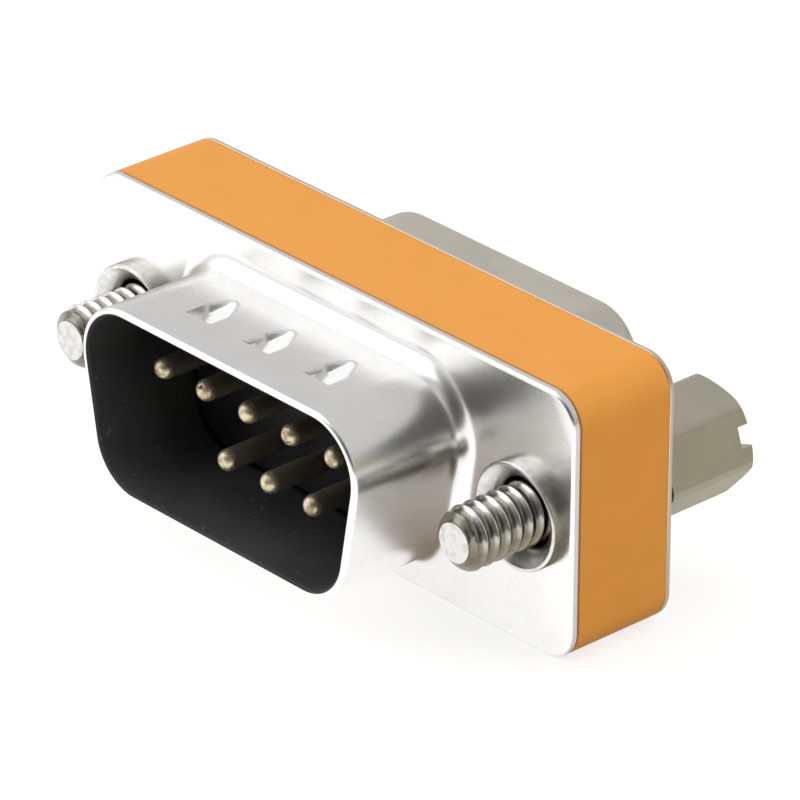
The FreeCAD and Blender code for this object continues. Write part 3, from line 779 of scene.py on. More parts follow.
@dataclass
class Paintbox:
    """Every finish of the object, made once."""

    tin: bpy.types.Material = field(init=False)
    tin_rear: bpy.types.Material = field(init=False)
    inside_shade: bpy.types.Material = field(init=False)
    orange: bpy.types.Material = field(init=False)
    black: bpy.types.Material = field(init=False)
    nickel: bpy.types.Material = field(init=False)
    stud: bpy.types.Material = field(init=False)
    post: bpy.types.Material = field(init=False)
    gold: bpy.types.Material = field(init=False)
    board: bpy.types.Material = field(init=False)

    def __post_init__(self) -> None:
        """Makes the materials."""
        self.tin = MetalFinish(
            "tinned_sheet", light=(0.84, 0.835, 0.83), dark=(0.81, 0.805, 0.80), roughness=0.26,
            spread=0.12, wave=0.010, grain=0.0007, stain_share=0.12).material()
        self.tin_rear = MetalFinish(
            "tinned_sheet_rear", light=(0.66, 0.625, 0.555), dark=(0.62, 0.585, 0.52), roughness=0.42,
            spread=0.1, wave=0.006, grain=0.001).material()
        # Painted shade for the inside walls of the plug's mouth.
        self.inside_shade = ShadedInsideFinish().material()
        self.orange = PlasticFinish(
            "orange_plastic", light=(0.87, 0.365, 0.062), dark=(0.85, 0.35, 0.056), roughness=0.5,
            texture=0.003, specular=0.25).material()
        self.black = PlasticFinish(
            "black_plastic", light=(0.034, 0.034, 0.035), dark=(0.025, 0.025, 0.026), roughness=0.4,
            texture=0.002, specular=0.3).material()
        # Painted shade on both: the eyelet's outer wall is darker and olive as a painted reflection, the
        # stud's grooves are darker, and both pieces are darker on their lower side.
        self.nickel = TurnedFinish(
            "nickel_eyelet", inner=(0.74, 0.735, 0.72), outer=(0.70, 0.685, 0.65), inner_radius=2.42,
            outer_radius=2.445, roughness=0.30, shade_below_high=2.0).material()
        self.stud = TurnedFinish(
            "nickel_stud", inner=(0.31, 0.295, 0.255), outer=(0.88, 0.875, 0.86), inner_radius=1.22,
            outer_radius=1.34, roughness=0.22, shade_below=(0.17, 0.148, 0.105), shade_below_inner_share=0.9,
            shade_below_low=-0.3, shade_below_high=0.9, face_depth=-6.97).material()
        self.post = MetalFinish(
            "nickel_post", light=(0.50, 0.475, 0.385), dark=(0.46, 0.44, 0.35), roughness=0.36,
            spread=0.06, wave=0.002, grain=0.0010, wave_scale=500.0, stain=(0.45, 0.43, 0.34),
            stain_share=0.15).material()
        self.gold = PinFinish().material()
        self.board = PlasticFinish(
            "green_laminate", light=(0.02, 0.12, 0.05), dark=(0.015, 0.09, 0.04), roughness=0.35,
            texture=0.002).material()


# Sub-assemblies, in millimetres


@dataclass
class DrawnShell:
    """A flange and a D wall pressed from one sheet."""

    facing: Facing
    layout: Layout
    inside_width: float
    inside_height: float
    inside_corner: float
    sheet: float
    reach: float
    bend: float
    inner_bend: float
    rim_round: float = 0.17
    rim_bend: float = 0.0
    lip: float = 0.0
    # Rows of the rim that keep the sheet finish before the inside finish begins, which on the plug is
    # painted shade.
    unshaded_rim: int = 7
    edge_round: float = 0.18
    burr: float = 0.03
    lean: float = math.radians(10)
    runs: tuple[int, ...] = (40, 20, 30, 20)
    corner_steps: int = 18
    fewest_rows: int = 8
    row_height: float = 0.5
    inner_row_height: float = 0.6
    flange_corner_steps: int = 14
    hole_steps: int = 48
    level_normal: float = 0.999
    dimple_centres: tuple[float, ...] = ()
    dimple_setback: float = 3.05
    dimple_length: float = 2.2
    dimple_width: float = 1.55
    dimple_depth: float = 0.72
    dimple_wall: float = 0.2

    def dent(self, x: float, distance: float) -> float:
        """How far a dimple presses in: a ramp from its round far end down to a steep front end.

        Args:
            x: Place along the wide side.
            distance: Distance from the flange face.

        Returns:
            The depth below the flat wall.
        """
        start = self.dimple_setback - self.dimple_length / 2
        along = (distance - start) / self.dimple_length
        if not 0 < along < 1:
            return 0.0
        half = self.dimple_width / 2 * min(1.0, 2 * along) ** 0.5
        front = min(1.0, (1 - along) * self.dimple_length / self.dimple_wall)
        pressed = 0.0
        for centre in self.dimple_centres:
            side = min(1.0, max(0.0, half - abs(x - centre)) / self.dimple_wall)
            pressed = max(pressed, self.dimple_depth * along * min(side, front))
        return pressed

    def wall_ring(self, draft: Draft, outline: Outline, grow: float, distance: float) -> list[int]:
        """Adds a ring of the D wall, with the dimples pressed in.

        Args:
            draft: Mesh to add to.
            outline: Inside line of the wall.
            grow: Distance outward from that line.
            distance: Distance from the flange face.

        Returns:
            Indices of the ring's points.
        """
        places = []
        for (x, z), (_, nz) in zip(outline.grown(grow, self.layout.mid_height), outline.normals):
            sink = self.dent(x, distance) if nz > self.level_normal else 0.0
            places.append((x, z - sink))
        return draft.ring(places, self.layout.face_of_flange(self.facing) + self.facing.value * distance)

    def build(self, name: str, outside: bpy.types.Material, inner: bpy.types.Material) -> bpy.types.Object:
        """Draws the shell.

        Args:
            name: Name of the piece.
            outside: Finish of the sheet.
            inner: Finish of the inside of the mouth, which on the plug is painted shade.

        Returns:
            The finished shell.
        """
        draft = Draft()
        outline = rounded_outline(self.inside_width / 2, self.inside_height / 2, self.inside_corner,
                                  self.lean, self.runs, self.corner_steps)
        outer = self.outer_profile()
        stops = outer + self.rim_profile() + self.inner_profile()
        rings = [self.wall_ring(draft, outline, *stop) for stop in stops]
        # Past the rim the inside takes the second finish, which on the plug is painted shade.
        shade_start = len(outer) + self.unshaded_rim
        draft.tube(rings[:shade_start + 1], 0)
        draft.tube(rings[shade_start:], 1)
        self.flange(draft, rings[0], rings[-1])
        return draft.piece(name, [outside, inner])

    def outer_profile(self) -> list[Place]:
        """Bend and wall outside.

        Returns:
            Pairs of growth and distance from the flange face.
        """
        line = [(self.sheet + self.bend * (1 - math.sin(t)), self.bend * (1 - math.cos(t)))
                for t in arc_steps(0, 90, 10)]
        stop = self.reach - max(self.rim_round, self.rim_bend)
        count = max(self.fewest_rows, int((stop - self.bend) / self.row_height))
        line += [(self.sheet, self.bend + (stop - self.bend) * step / count) for step in range(1, count + 1)]
        return line

    def rim_profile(self) -> list[Place]:
        """The rim: a small rounding, or a bend inward with a lip.

        Returns:
            Pairs of growth and distance from the flange face.
        """
        if not self.rim_bend:
            middle = self.reach - self.rim_round
            outside, soft = self.sheet - self.rim_round, self.rim_round
            line = [(outside + soft * math.cos(t), middle + soft * math.sin(t))
                    for t in arc_steps(0, 90, 6)[1:]]
            line += [(soft * (1 - math.sin(t)), middle + soft * math.cos(t)) for t in arc_steps(0, 90, 6)]
            return line
        centre, middle = self.sheet - self.rim_bend, self.reach - self.rim_bend
        line = [(centre + self.rim_bend * math.cos(t), middle + self.rim_bend * math.sin(t))
                for t in arc_steps(0, 90, 12)[1:]]
        edge, soft = centre - self.lip, self.rim_round / 2
        line += [(edge + soft * (1 - math.sin(t)), self.reach - soft * (1 - math.cos(t)))
                 for t in arc_steps(0, 90, 4)]
        line += [(edge, self.reach - self.sheet), (centre, self.reach - self.sheet)]
        inner = self.rim_bend - self.sheet
        line += [(centre + inner * math.sin(t), middle + inner * math.cos(t))
                 for t in arc_steps(0, 90, 8)[1:]]
        return line

    def inner_profile(self) -> list[Place]:
        """Wall and bend inside, down to the back of the flange.

        Returns:
            Pairs of growth and distance from the flange face.
        """
        start = self.reach - max(self.rim_round, self.rim_bend)
        stop = self.inner_bend - self.sheet
        count = max(self.fewest_rows, int((start - stop) / self.inner_row_height))
        line = [(0.0, start + (stop - start) * step / count) for step in range(1, count + 1)]
        line += [(self.inner_bend * (1 - math.cos(t)), stop - self.inner_bend * math.sin(t))
                 for t in arc_steps(0, 90, 6)[1:]]
        return line

    def flange(self, draft: Draft, front_line: list[int], back_line: list[int]) -> None:
        """Draws the flange round the D, with its eyelet holes and soft front edge.

        Args:
            draft: Mesh to add to.
            front_line: Ring where the bend meets the flange face.
            back_line: Ring where the bend meets the back of the flange.
        """
        plan = self.layout
        way = self.facing.value
        face, back = plan.face_of_flange(self.facing), plan.back_of_flange(self.facing)
        outer = plan.edge(self.flange_corner_steps)
        steps = [(-self.burr, back), (0.0, back + way * self.burr)]
        steps += [(-self.edge_round * (1 - math.cos(t)), face - way * self.edge_round * (1 - math.sin(t)))
                  for t in arc_steps(0, 90, 6)]
        rings = [draft.ring(outer.grown(grow, plan.mid_height), depth) for grow, depth in steps]
        draft.tube(rings, 0)
        front_holes, back_holes = [front_line], [back_line]
        for side in Side:
            places = plan.eyelet_hole(side, self.hole_steps)
            front_holes.append(draft.ring(places, face))
            back_holes.append(draft.ring(places, back))
            draft.bridge(front_holes[-1], back_holes[-1], 0)
        draft.plate(rings[-1], front_holes, 0)
        draft.plate(rings[0], back_holes, 0)


@dataclass
class PlasticBody:
    """The moulded spacer between the flanges, hollow right through."""

    layout: Layout
    edge_round: float = 0.06
    joint_gap: float = 0.08
    joint_drops: tuple[float, float] = (0.13, 0.05)
    corner_steps: int = 16
    hole_steps: int = 40
    hollow_half_width: float = 9.8
    hollow_half_height: float = 5.1
    hollow_corner: float = 1.2
    hollow_runs: tuple[int, ...] = (20, 10, 20, 10)
    hollow_corner_steps: int = 8

    def build(self, name: str, finish: bpy.types.Material) -> bpy.types.Object:
        """Draws the spacer.

        Args:
            name: Name of the piece.
            finish: Finish of the plastic.

        Returns:
            The finished spacer.
        """
        plan = self.layout
        draft = Draft()
        half = plan.body_depth / 2
        outer = plan.edge(self.corner_steps)
        rings = []
        start = half - self.joint_gap
        for way, drop in zip((-1, 1), self.joint_drops):
            steps = [(-drop, half), (-drop, start)]
            steps += [(-self.edge_round * (1 - math.cos(t)), start - self.edge_round * (1 - math.sin(t)))
                      for t in arc_steps(90, 0, 4)]
            for grow, depth in steps[::-way]:
                rings.append(draft.ring(outer.grown(grow, plan.mid_height), way * depth))
        draft.tube(rings, 0)
        hollow = rounded_outline(self.hollow_half_width, self.hollow_half_height, self.hollow_corner,
                                 0.0, self.hollow_runs, self.hollow_corner_steps)
        loops = [hollow.grown(0.0, plan.mid_height)]
        loops += [plan.eyelet_hole(side, self.hole_steps) for side in Side]
        ends = [[draft.ring(loop, depth) for loop in loops] for depth in (-half, half)]
        for first, second in zip(*ends):
            draft.bridge(first, second, 0)
        draft.plate(rings[0], ends[0], 0)
        draft.plate(rings[-1], ends[1], 0)
        return draft.piece(name, [finish])


@dataclass
class Eyelet:
    """A turned tube clenched over both flanges, which keeps a jackscrew in."""

    side: Side
    layout: Layout
    bore: float = 1.58
    ring_radius: float = 2.45
    ring_proud: float = 0.62
    crest: float = 0.02
    crest_round: float = 0.11
    inner_round: float = 0.08
    inner_sweep: float = 50.0
    mouth_drop: float = 0.5
    mouth_steps: int = 8
    mouth_power: float = 1.6
    lip_radius: float = 1.2
    lip_length: float = 0.35
    lip_chamfer: float = 0.04
    flare_radius: float = 2.1
    flare_thickness: float = 0.25
    flare_round: float = 0.1
    turn_steps: int = 96

    def profile(self) -> list[Place]:
        """Closed profile of the eyelet, front ring first.

        Returns:
            Pairs of radius and depth.
        """
        plan = self.layout
        face = plan.face_of_flange(Facing.PLUG)
        rear = plan.face_of_flange(Facing.SOCKET)
        back = rear + self.flare_thickness
        top = face - self.ring_proud
        tube = plan.eyelet_radius
        line: list[Place] = [(tube, face), (self.ring_radius, face)]
        line += [(self.ring_radius - self.crest_round * (1 - math.cos(t)),
                  top + self.crest_round * (1 - math.sin(t))) for t in arc_steps(0, 90, 6)]
        inner = self.ring_radius - self.crest_round - self.crest
        line += [(inner - self.inner_round * math.sin(t), top + self.inner_round * (1 - math.cos(t)))
                 for t in arc_steps(0, self.inner_sweep, 4)]
        rim = line[-1]
        throat = top + self.mouth_drop + tube - self.bore
        for step in range(1, self.mouth_steps + 1):
            share = step / self.mouth_steps
            line.append((rim[0] + (self.bore - rim[0]) * (1 - (1 - share) ** self.mouth_power),
                         rim[1] + (throat - rim[1]) * share))
        line += [(self.bore, rear - self.lip_length), (self.lip_radius, rear - self.lip_length),
                 (self.lip_radius, back - self.lip_chamfer), (self.lip_radius + self.lip_chamfer, back)]
        line += [(self.flare_radius - self.flare_round * (1 - math.cos(t)),
                  back - self.flare_round * (1 - math.sin(t))) for t in arc_steps(90, 0, 4)]
        line += [(self.flare_radius, rear), (tube, rear)]
        return line

    def build(self, name: str, finish: bpy.types.Material) -> bpy.types.Object:
        """Turns the eyelet.

        Args:
            name: Name of the piece.
            finish: Finish of the plating.

        Returns:
            The finished eyelet.
        """
        draft = Draft()
        draft.lathe(self.profile(), self.side.value * self.layout.screw_x, self.layout.mid_height,
                    self.turn_steps)
        return draft.piece(name, [finish], 40.0)


class TreeDraft(Bench):
    """A Geometry Nodes tree under construction."""

    def __init__(self, name: str) -> None:
        """Makes an empty tree with a geometry input and output."""
        self.group = bpy.data.node_groups.new(name, "GeometryNodeTree")
        super().__init__(self.group)
        for way in ("INPUT", "OUTPUT"):
            self.group.interface.new_socket(name="Geometry", in_out=way, socket_type="NodeSocketGeometry")
        self.entry = self.nodes.new("NodeGroupInput")
        self.exit = self.nodes.new("NodeGroupOutput")
        self.keys: dict[str, str] = {}

    def size(self, name: str, kind: str, value: object = None) -> Signal:
        """Adds a named input.

        Args:
            name: Name of the input.
            kind: Type of its socket.
            value: Value that it starts with, if any.

        Returns:
            The input as it is used in the tree.
        """
        item = self.group.interface.new_socket(name=name, in_out="INPUT", socket_type=kind)
        if value is not None:
            item.default_value = value
        self.keys[name] = item.identifier
        return Signal(self, next(s for s in self.entry.outputs if s.identifier == item.identifier))

    def spot(self, x: Signal | float, y: Signal | float, z: Signal | float) -> Signal:
        """A vector of its three parts."""
        return self.node("ShaderNodeCombineXYZ", {}, {0: x, 1: y, 2: z})

    def metres(self, spot: Signal) -> Signal:
        """A place given in millimetres."""
        return self.node("ShaderNodeVectorMath", {"operation": "SCALE"}, {0: spot, "Scale": MM})

    def close(self, shape: Signal, finish: Signal) -> None:
        """Ends the tree in Realize Instances and Set Material.

        Args:
            shape: Geometry of the piece.
            finish: Material of the piece.
        """
        real = self.node("GeometryNodeRealizeInstances", {}, {"Geometry": shape})
        dressed = self.node("GeometryNodeSetMaterial", {}, {"Geometry": real, "Material": finish})
        self.links.new(dressed.socket, self.exit.inputs[0])

    def run(self, name: str, values: dict[str, object], crease: float) -> bpy.types.Object:
        """Evaluates the tree into a plain mesh.

        Args:
            name: Name of the piece.
            values: Values of the named inputs.
            crease: Angle in degrees past which an edge stays sharp.

        Returns:
            The finished object.
        """
        made = bpy.data.objects.new(name, bpy.data.meshes.new(name))
        bpy.context.scene.collection.objects.link(made)
        step = made.modifiers.new("pattern", "NODES")
        step.node_group = self.group
        for key, given in values.items():
            step[self.keys[key]] = given
        applied(made)
        return settled(made, crease)


@dataclass
class ThreadPattern:
    """Geometry Nodes tree of a screw thread with a chamfered, flat end."""

    turn_steps: int = 72
    rows_per_turn: int = 14
    crest_power: float = 1.4
    merge: float = 2e-6

    def tree(self) -> TreeDraft:
        """Builds the tree: a grid rolled up, with its rows skewed along the helix.

        Returns:
            The finished tree.
        """
        draft = TreeDraft("screw_thread")
        size = {
            "Outside Radius": 1.42, "Core Radius": 1.17, "Pitch": 0.64, "Tip": -6.98, "End": -2.0,
            "Flat Radius": 0.9, "Boss Length": 0.12, "Chamfer Slope": 1.8,
            "Centre X": 0.0, "Centre Z": 6.275,
        }
        s = {name: draft.size(name, "NodeSocketFloat", given) for name, given in size.items()}
        finish = draft.size("Finish", "NodeSocketMaterial")
        turns = (s["End"] - s["Tip"]) / s["Pitch"] + 2.0
        rows = (turns * self.rows_per_turn).math("CEIL")
        counts = {"Vertices X": self.turn_steps + 1, "Vertices Y": rows}
        grid = draft.node("GeometryNodeMeshGrid", {}, {"Size X": 1.0, "Size Y": 1.0, **counts})
        index = draft.node("GeometryNodeInputIndex", {}, {})
        column = ((index + 0.5) / rows).math("FLOOR")
        row = index - column * rows
        part = column / self.turn_steps
        angle = part * (2 * math.pi)
        steps = row / self.rows_per_turn - 1.0
        raw = s["Tip"] + (steps + part) * s["Pitch"]
        depth = s["Tip"].math("MAXIMUM", s["End"].math("MINIMUM", raw))
        radius = self.profile(s, (steps + 2.0).math("FRACT"), depth)
        x = s["Centre X"] + radius * angle.math("COSINE")
        z = s["Centre Z"] + radius * angle.math("SINE")
        rolled = draft.node("GeometryNodeSetPosition", {},
                            {"Geometry": grid, "Position": draft.metres(draft.spot(x, depth, z))})
        joined = draft.node("GeometryNodeJoinGeometry", {}, {"Geometry": rolled})
        for name in ("Tip", "End"):
            draft.links.new(self.lid(draft, s, s[name]).socket, joined.socket.node.inputs["Geometry"])
        merged = draft.node("GeometryNodeMergeByDistance", {}, {"Geometry": joined, "Distance": self.merge})
        draft.close(merged, finish)
        return draft

    def lid(self, draft: TreeDraft, s: dict[str, Signal], depth: Signal) -> Signal:
        """Flat disc that closes the thread.

        Args:
            draft: Tree to add to.
            s: Named inputs of the tree.
            depth: Depth of the disc.

        Returns:
            The disc.
        """
        disc = draft.node("GeometryNodeMeshCircle", {"fill_type": "NGON"},
                          {"Vertices": self.turn_steps, "Radius": s["Flat Radius"] * MM})
        centre = draft.metres(draft.spot(s["Centre X"], depth, s["Centre Z"]))
        return draft.node("GeometryNodeTransform", {},
                          {"Geometry": disc, "Translation": centre, "Rotation": (math.pi / 2, 0.0, 0.0)})

    def profile(self, s: dict[str, Signal], phase: Signal, depth: Signal) -> Signal:
        """Radius of the thread: rounded crests, a slope at both ends and a flat boss beyond it.

        Args:
            s: Named inputs of the tree.
            phase: Share of a turn past the last crest.
            depth: Depth of the point.

        Returns:
            The radius in millimetres.
        """
        swing = (phase * (2 * math.pi)).math("COSINE")
        crest = (swing * 0.5 + 0.5).math("POWER", self.crest_power)
        radius = s["Core Radius"] + crest * (s["Outside Radius"] - s["Core Radius"])
        for gap in (depth - s["Tip"], s["End"] - depth):
            past = (gap - s["Boss Length"]).math("MAXIMUM", 0.0)
            radius = radius.math("MINIMUM", s["Flat Radius"] + past * s["Chamfer Slope"])
        return radius


@dataclass
class Jackscrew:
    """A captive screw: threaded stud, plain shank and slotted hex post."""

    side: Side
    layout: Layout
    turn: float
    stud_tip: float = -6.98
    thread_end: float = -2.0
    shank_radius: float = 1.05
    shank_front_overlap: float = 0.1
    shank_rear_overlap: float = 0.05
    post_start: float = 3.21
    post_end: float = 8.08
    post_flats: float = 4.75
    post_edge_round: float = 0.4
    start_inset: float = 0.12
    start_chamfer: float = 0.3
    end_radius: float = 2.1
    end_sweep: float = 1.0
    end_drop: float = 1.2
    slot_width: float = 0.95
    slot_depth: float = 0.65
    tapped_radius: float = 1.12
    tapped_depth: float = 4.2
    clearance: float = 1.0
    soft_edge: float = 0.05
    turn_steps: int = 96
    bore_steps: int = 48

    def __post_init__(self) -> None:
        """Works out the place of the axis."""
        self.x = self.side.value * self.layout.screw_x
        self.z = self.layout.mid_height

    def stud(self, name: str, finish: bpy.types.Material) -> bpy.types.Object:
        """Threads the stud by Geometry Nodes and closes both of its ends."""
        sizes = {"Centre X": self.x, "Centre Z": self.z, "Tip": self.stud_tip, "End": self.thread_end}
        return ThreadPattern().tree().run(name, {**sizes, "Finish": finish}, 60.0)

    def around(self, places: Iterable[Place]) -> list[Place]:
        """Places about the axis, turned to the rest angle of the screw."""
        cos, sin = math.cos(math.radians(self.turn)), math.sin(math.radians(self.turn))
        return [(self.x + px * cos - pz * sin, self.z + px * sin + pz * cos) for px, pz in places]

    def prism(self, places: Sequence[Place], start: float, stop: float) -> bpy.types.Object:
        """A straight block along the depth.

        Args:
            places: Corners about the axis.
            start: Depth of its front.
            stop: Depth of its back.

        Returns:
            The block.
        """
        draft = Draft()
        rings = [draft.ring(self.around(places), depth) for depth in (start, stop)]
        draft.tube(rings)
        draft.lid(rings[0])
        draft.lid(rings[1])
        return draft.piece("tool", [])

    def round_bar(self, name: str, line: Sequence[Place], steps: int,
                  finishes: Sequence[bpy.types.Material] = ()) -> bpy.types.Object:
        """A turned block about the axis, closed at both ends.

        Args:
            name: Name of the piece.
            line: Pairs of radius and depth, from axis to axis.
            steps: Divisions of the full turn.
            finishes: Finish of the block, if any.

        Returns:
            The block.
        """
        draft = Draft()
        draft.lathe(line, self.x, self.z, steps, closed=False)
        return draft.piece(name, finishes)

    def post(self, name: str, finish: bpy.types.Material) -> bpy.types.Object:
        """Cuts the hex post, its turned corners, slot and tapped hole.

        Args:
            name: Name of the piece.
            finish: Finish of the plating.

        Returns:
            The finished post.
        """
        corner = self.post_flats / 2 / math.cos(math.pi / 6)
        centre = corner - self.post_edge_round / math.cos(math.pi / 6)
        hexagon = []
        for middle in range(30, 390, 60):
            cx, cz = centre * math.cos(math.radians(middle)), centre * math.sin(math.radians(middle))
            hexagon += [(cx + self.post_edge_round * math.cos(t), cz + self.post_edge_round * math.sin(t))
                        for t in arc_steps(middle - 30, middle + 30, 6)]
        post = self.prism(hexagon, self.post_start, self.post_end)
        line = [(0.0, self.post_start), (corner - self.start_inset, self.post_start),
                (corner + self.start_chamfer, self.post_start + self.start_chamfer)]
        line += [(self.end_radius + self.end_sweep * math.sin(t),
                  self.post_end - self.end_drop * (1 - math.cos(t))) for t in arc_steps(60, 0, 8)]
        line.append((0.0, self.post_end))
        carve(post, self.round_bar("tool", line, self.turn_steps), "INTERSECT")
        half, far = self.slot_width / 2, self.post_flats
        floor, above = self.post_end - self.tapped_depth, self.post_end + self.clearance
        slot = self.prism([(-far, -half), (far, -half), (far, half), (-far, half)],
                          self.post_end - self.slot_depth, above)
        carve(post, slot, "DIFFERENCE")
        hole = [(0.0, floor), (self.tapped_radius, floor), (self.tapped_radius, above), (0.0, above)]
        carve(post, self.round_bar("tool", hole, self.bore_steps), "DIFFERENCE")
        post.name = name
        post.data.materials.clear()
        post.data.materials.append(finish)
        soft = post.modifiers.new("soft_edges", "BEVEL")
        soft.width = self.soft_edge * MM
        soft.segments = 2
        soft.limit_method = "ANGLE"
        soft.angle_limit = math.radians(25)
        applied(post)
        return settled(post, 20.0)

    def shank(self, name: str, finish: bpy.types.Material) -> bpy.types.Object:
        """Turns the plain shank that runs through the eyelet.

        Args:
            name: Name of the piece.
            finish: Finish of the plating.

        Returns:
            The finished shank.
        """
        start = self.thread_end - self.shank_front_overlap
        stop = self.post_start + self.shank_rear_overlap
        line = [(0.0, start), (self.shank_radius, start), (self.shank_radius, stop), (0.0, stop)]
        return self.round_bar(name, line, self.bore_steps, [finish])


@dataclass
class PinRows:
    """The gold pins of the plug in two rows, with one place left empty."""

    layout: Layout
    spacing: float = 2.77
    row_gap: float = 2.84
    radius: float = 0.5
    dome: float = 0.45
    dome_start: float = 15.0
    dome_power: float = 0.9
    tip: float = -7.8
    collar_radius: float = 0.75
    collar_start: float = -2.08
    collar_length: float = 0.5
    tail_radius: float = 0.35
    tail_end: float = -0.15
    turn_steps: int = 32
    upper_count: int = 5
    lower_count: int = 4
    empty_place: int = 5

    def template(self) -> bpy.types.Object:
        """Turns one pin on the axis from its profile.

        Returns:
            The pin, before it is repeated.
        """
        draft = Draft()
        collar_end = self.collar_start + self.collar_length
        line: list[Place] = [(0.0, self.tip)]
        line += [(self.radius * math.sin(t) ** self.dome_power, self.tip + self.dome * (1 - math.cos(t)))
                 for t in arc_steps(self.dome_start, 90, 8)]
        line += [(self.radius, self.collar_start), (self.collar_radius, self.collar_start),
                 (self.collar_radius, collar_end), (self.tail_radius, collar_end),
                 (self.tail_radius, self.tail_end), (0.0, self.tail_end)]
        draft.lathe(line, 0.0, 0.0, self.turn_steps, closed=False)
        return draft.piece("pin_template", [])

    def tree(self) -> TreeDraft:
        """Builds the tree: a point for each place of both rows, and a pin on all but one.

        Returns:
            The finished tree.
        """
        draft = TreeDraft("two_rows_of_pins")
        pin = draft.size("Pin", "NodeSocketObject")
        spacing = draft.size("Spacing", "NodeSocketFloat", self.spacing * MM)
        row_gap = draft.size("Row Gap", "NodeSocketFloat", self.row_gap * MM)
        height = draft.size("Middle Height", "NodeSocketFloat", self.layout.mid_height * MM)
        upper = draft.size("Upper Count", "NodeSocketInt", self.upper_count)
        lower = draft.size("Lower Count", "NodeSocketInt", self.lower_count)
        empty = draft.size("Empty Place", "NodeSocketInt", self.empty_place)
        finish = draft.size("Finish", "NodeSocketMaterial")
        line = draft.node("GeometryNodeMeshLine", {}, {"Count": upper + lower})
        index = draft.node("GeometryNodeInputIndex", {}, {})
        is_lower = index.math("GREATER_THAN", upper - 0.5)
        in_row = index - is_lower * upper
        row_count = upper - is_lower * (upper - lower)
        x = (in_row - (row_count - 1.0) / 2.0) * spacing
        rise = (0.5 - is_lower) * row_gap
        placed = draft.node("GeometryNodeSetPosition", {},
                            {"Geometry": line, "Position": draft.spot(x, 0.0, height + rise)})
        points = draft.node("GeometryNodeDeleteGeometry", {"domain": "POINT"},
                            {"Geometry": placed, "Selection": index.math("COMPARE", empty, 0.25)})
        info = draft.node("GeometryNodeObjectInfo", {}, {"Object": pin}, "Geometry")
        repeated = draft.node("GeometryNodeInstanceOnPoints", {}, {"Points": points, "Instance": info})
        draft.close(repeated, finish)
        return draft

    def build(self, name: str, finish: bpy.types.Material) -> bpy.types.Object:
        """Repeats the pin on both rows by Geometry Nodes.

        Args:
            name: Name of the piece.
            finish: Finish of the plating.

        Returns:
            The finished pins.
        """
        tree = self.tree()
        template = self.template()
        made = tree.run(name, {"Pin": template, "Finish": finish}, 50.0)
        removed(template)
        return made


# Studio, with its places in metres


@dataclass(frozen=True)
class Lamp:
    """A square soft lamp, with its power in watts."""

    name: str
    spot: tuple[float, float, float]
    size: float
    power: float
    mirrored: bool = False


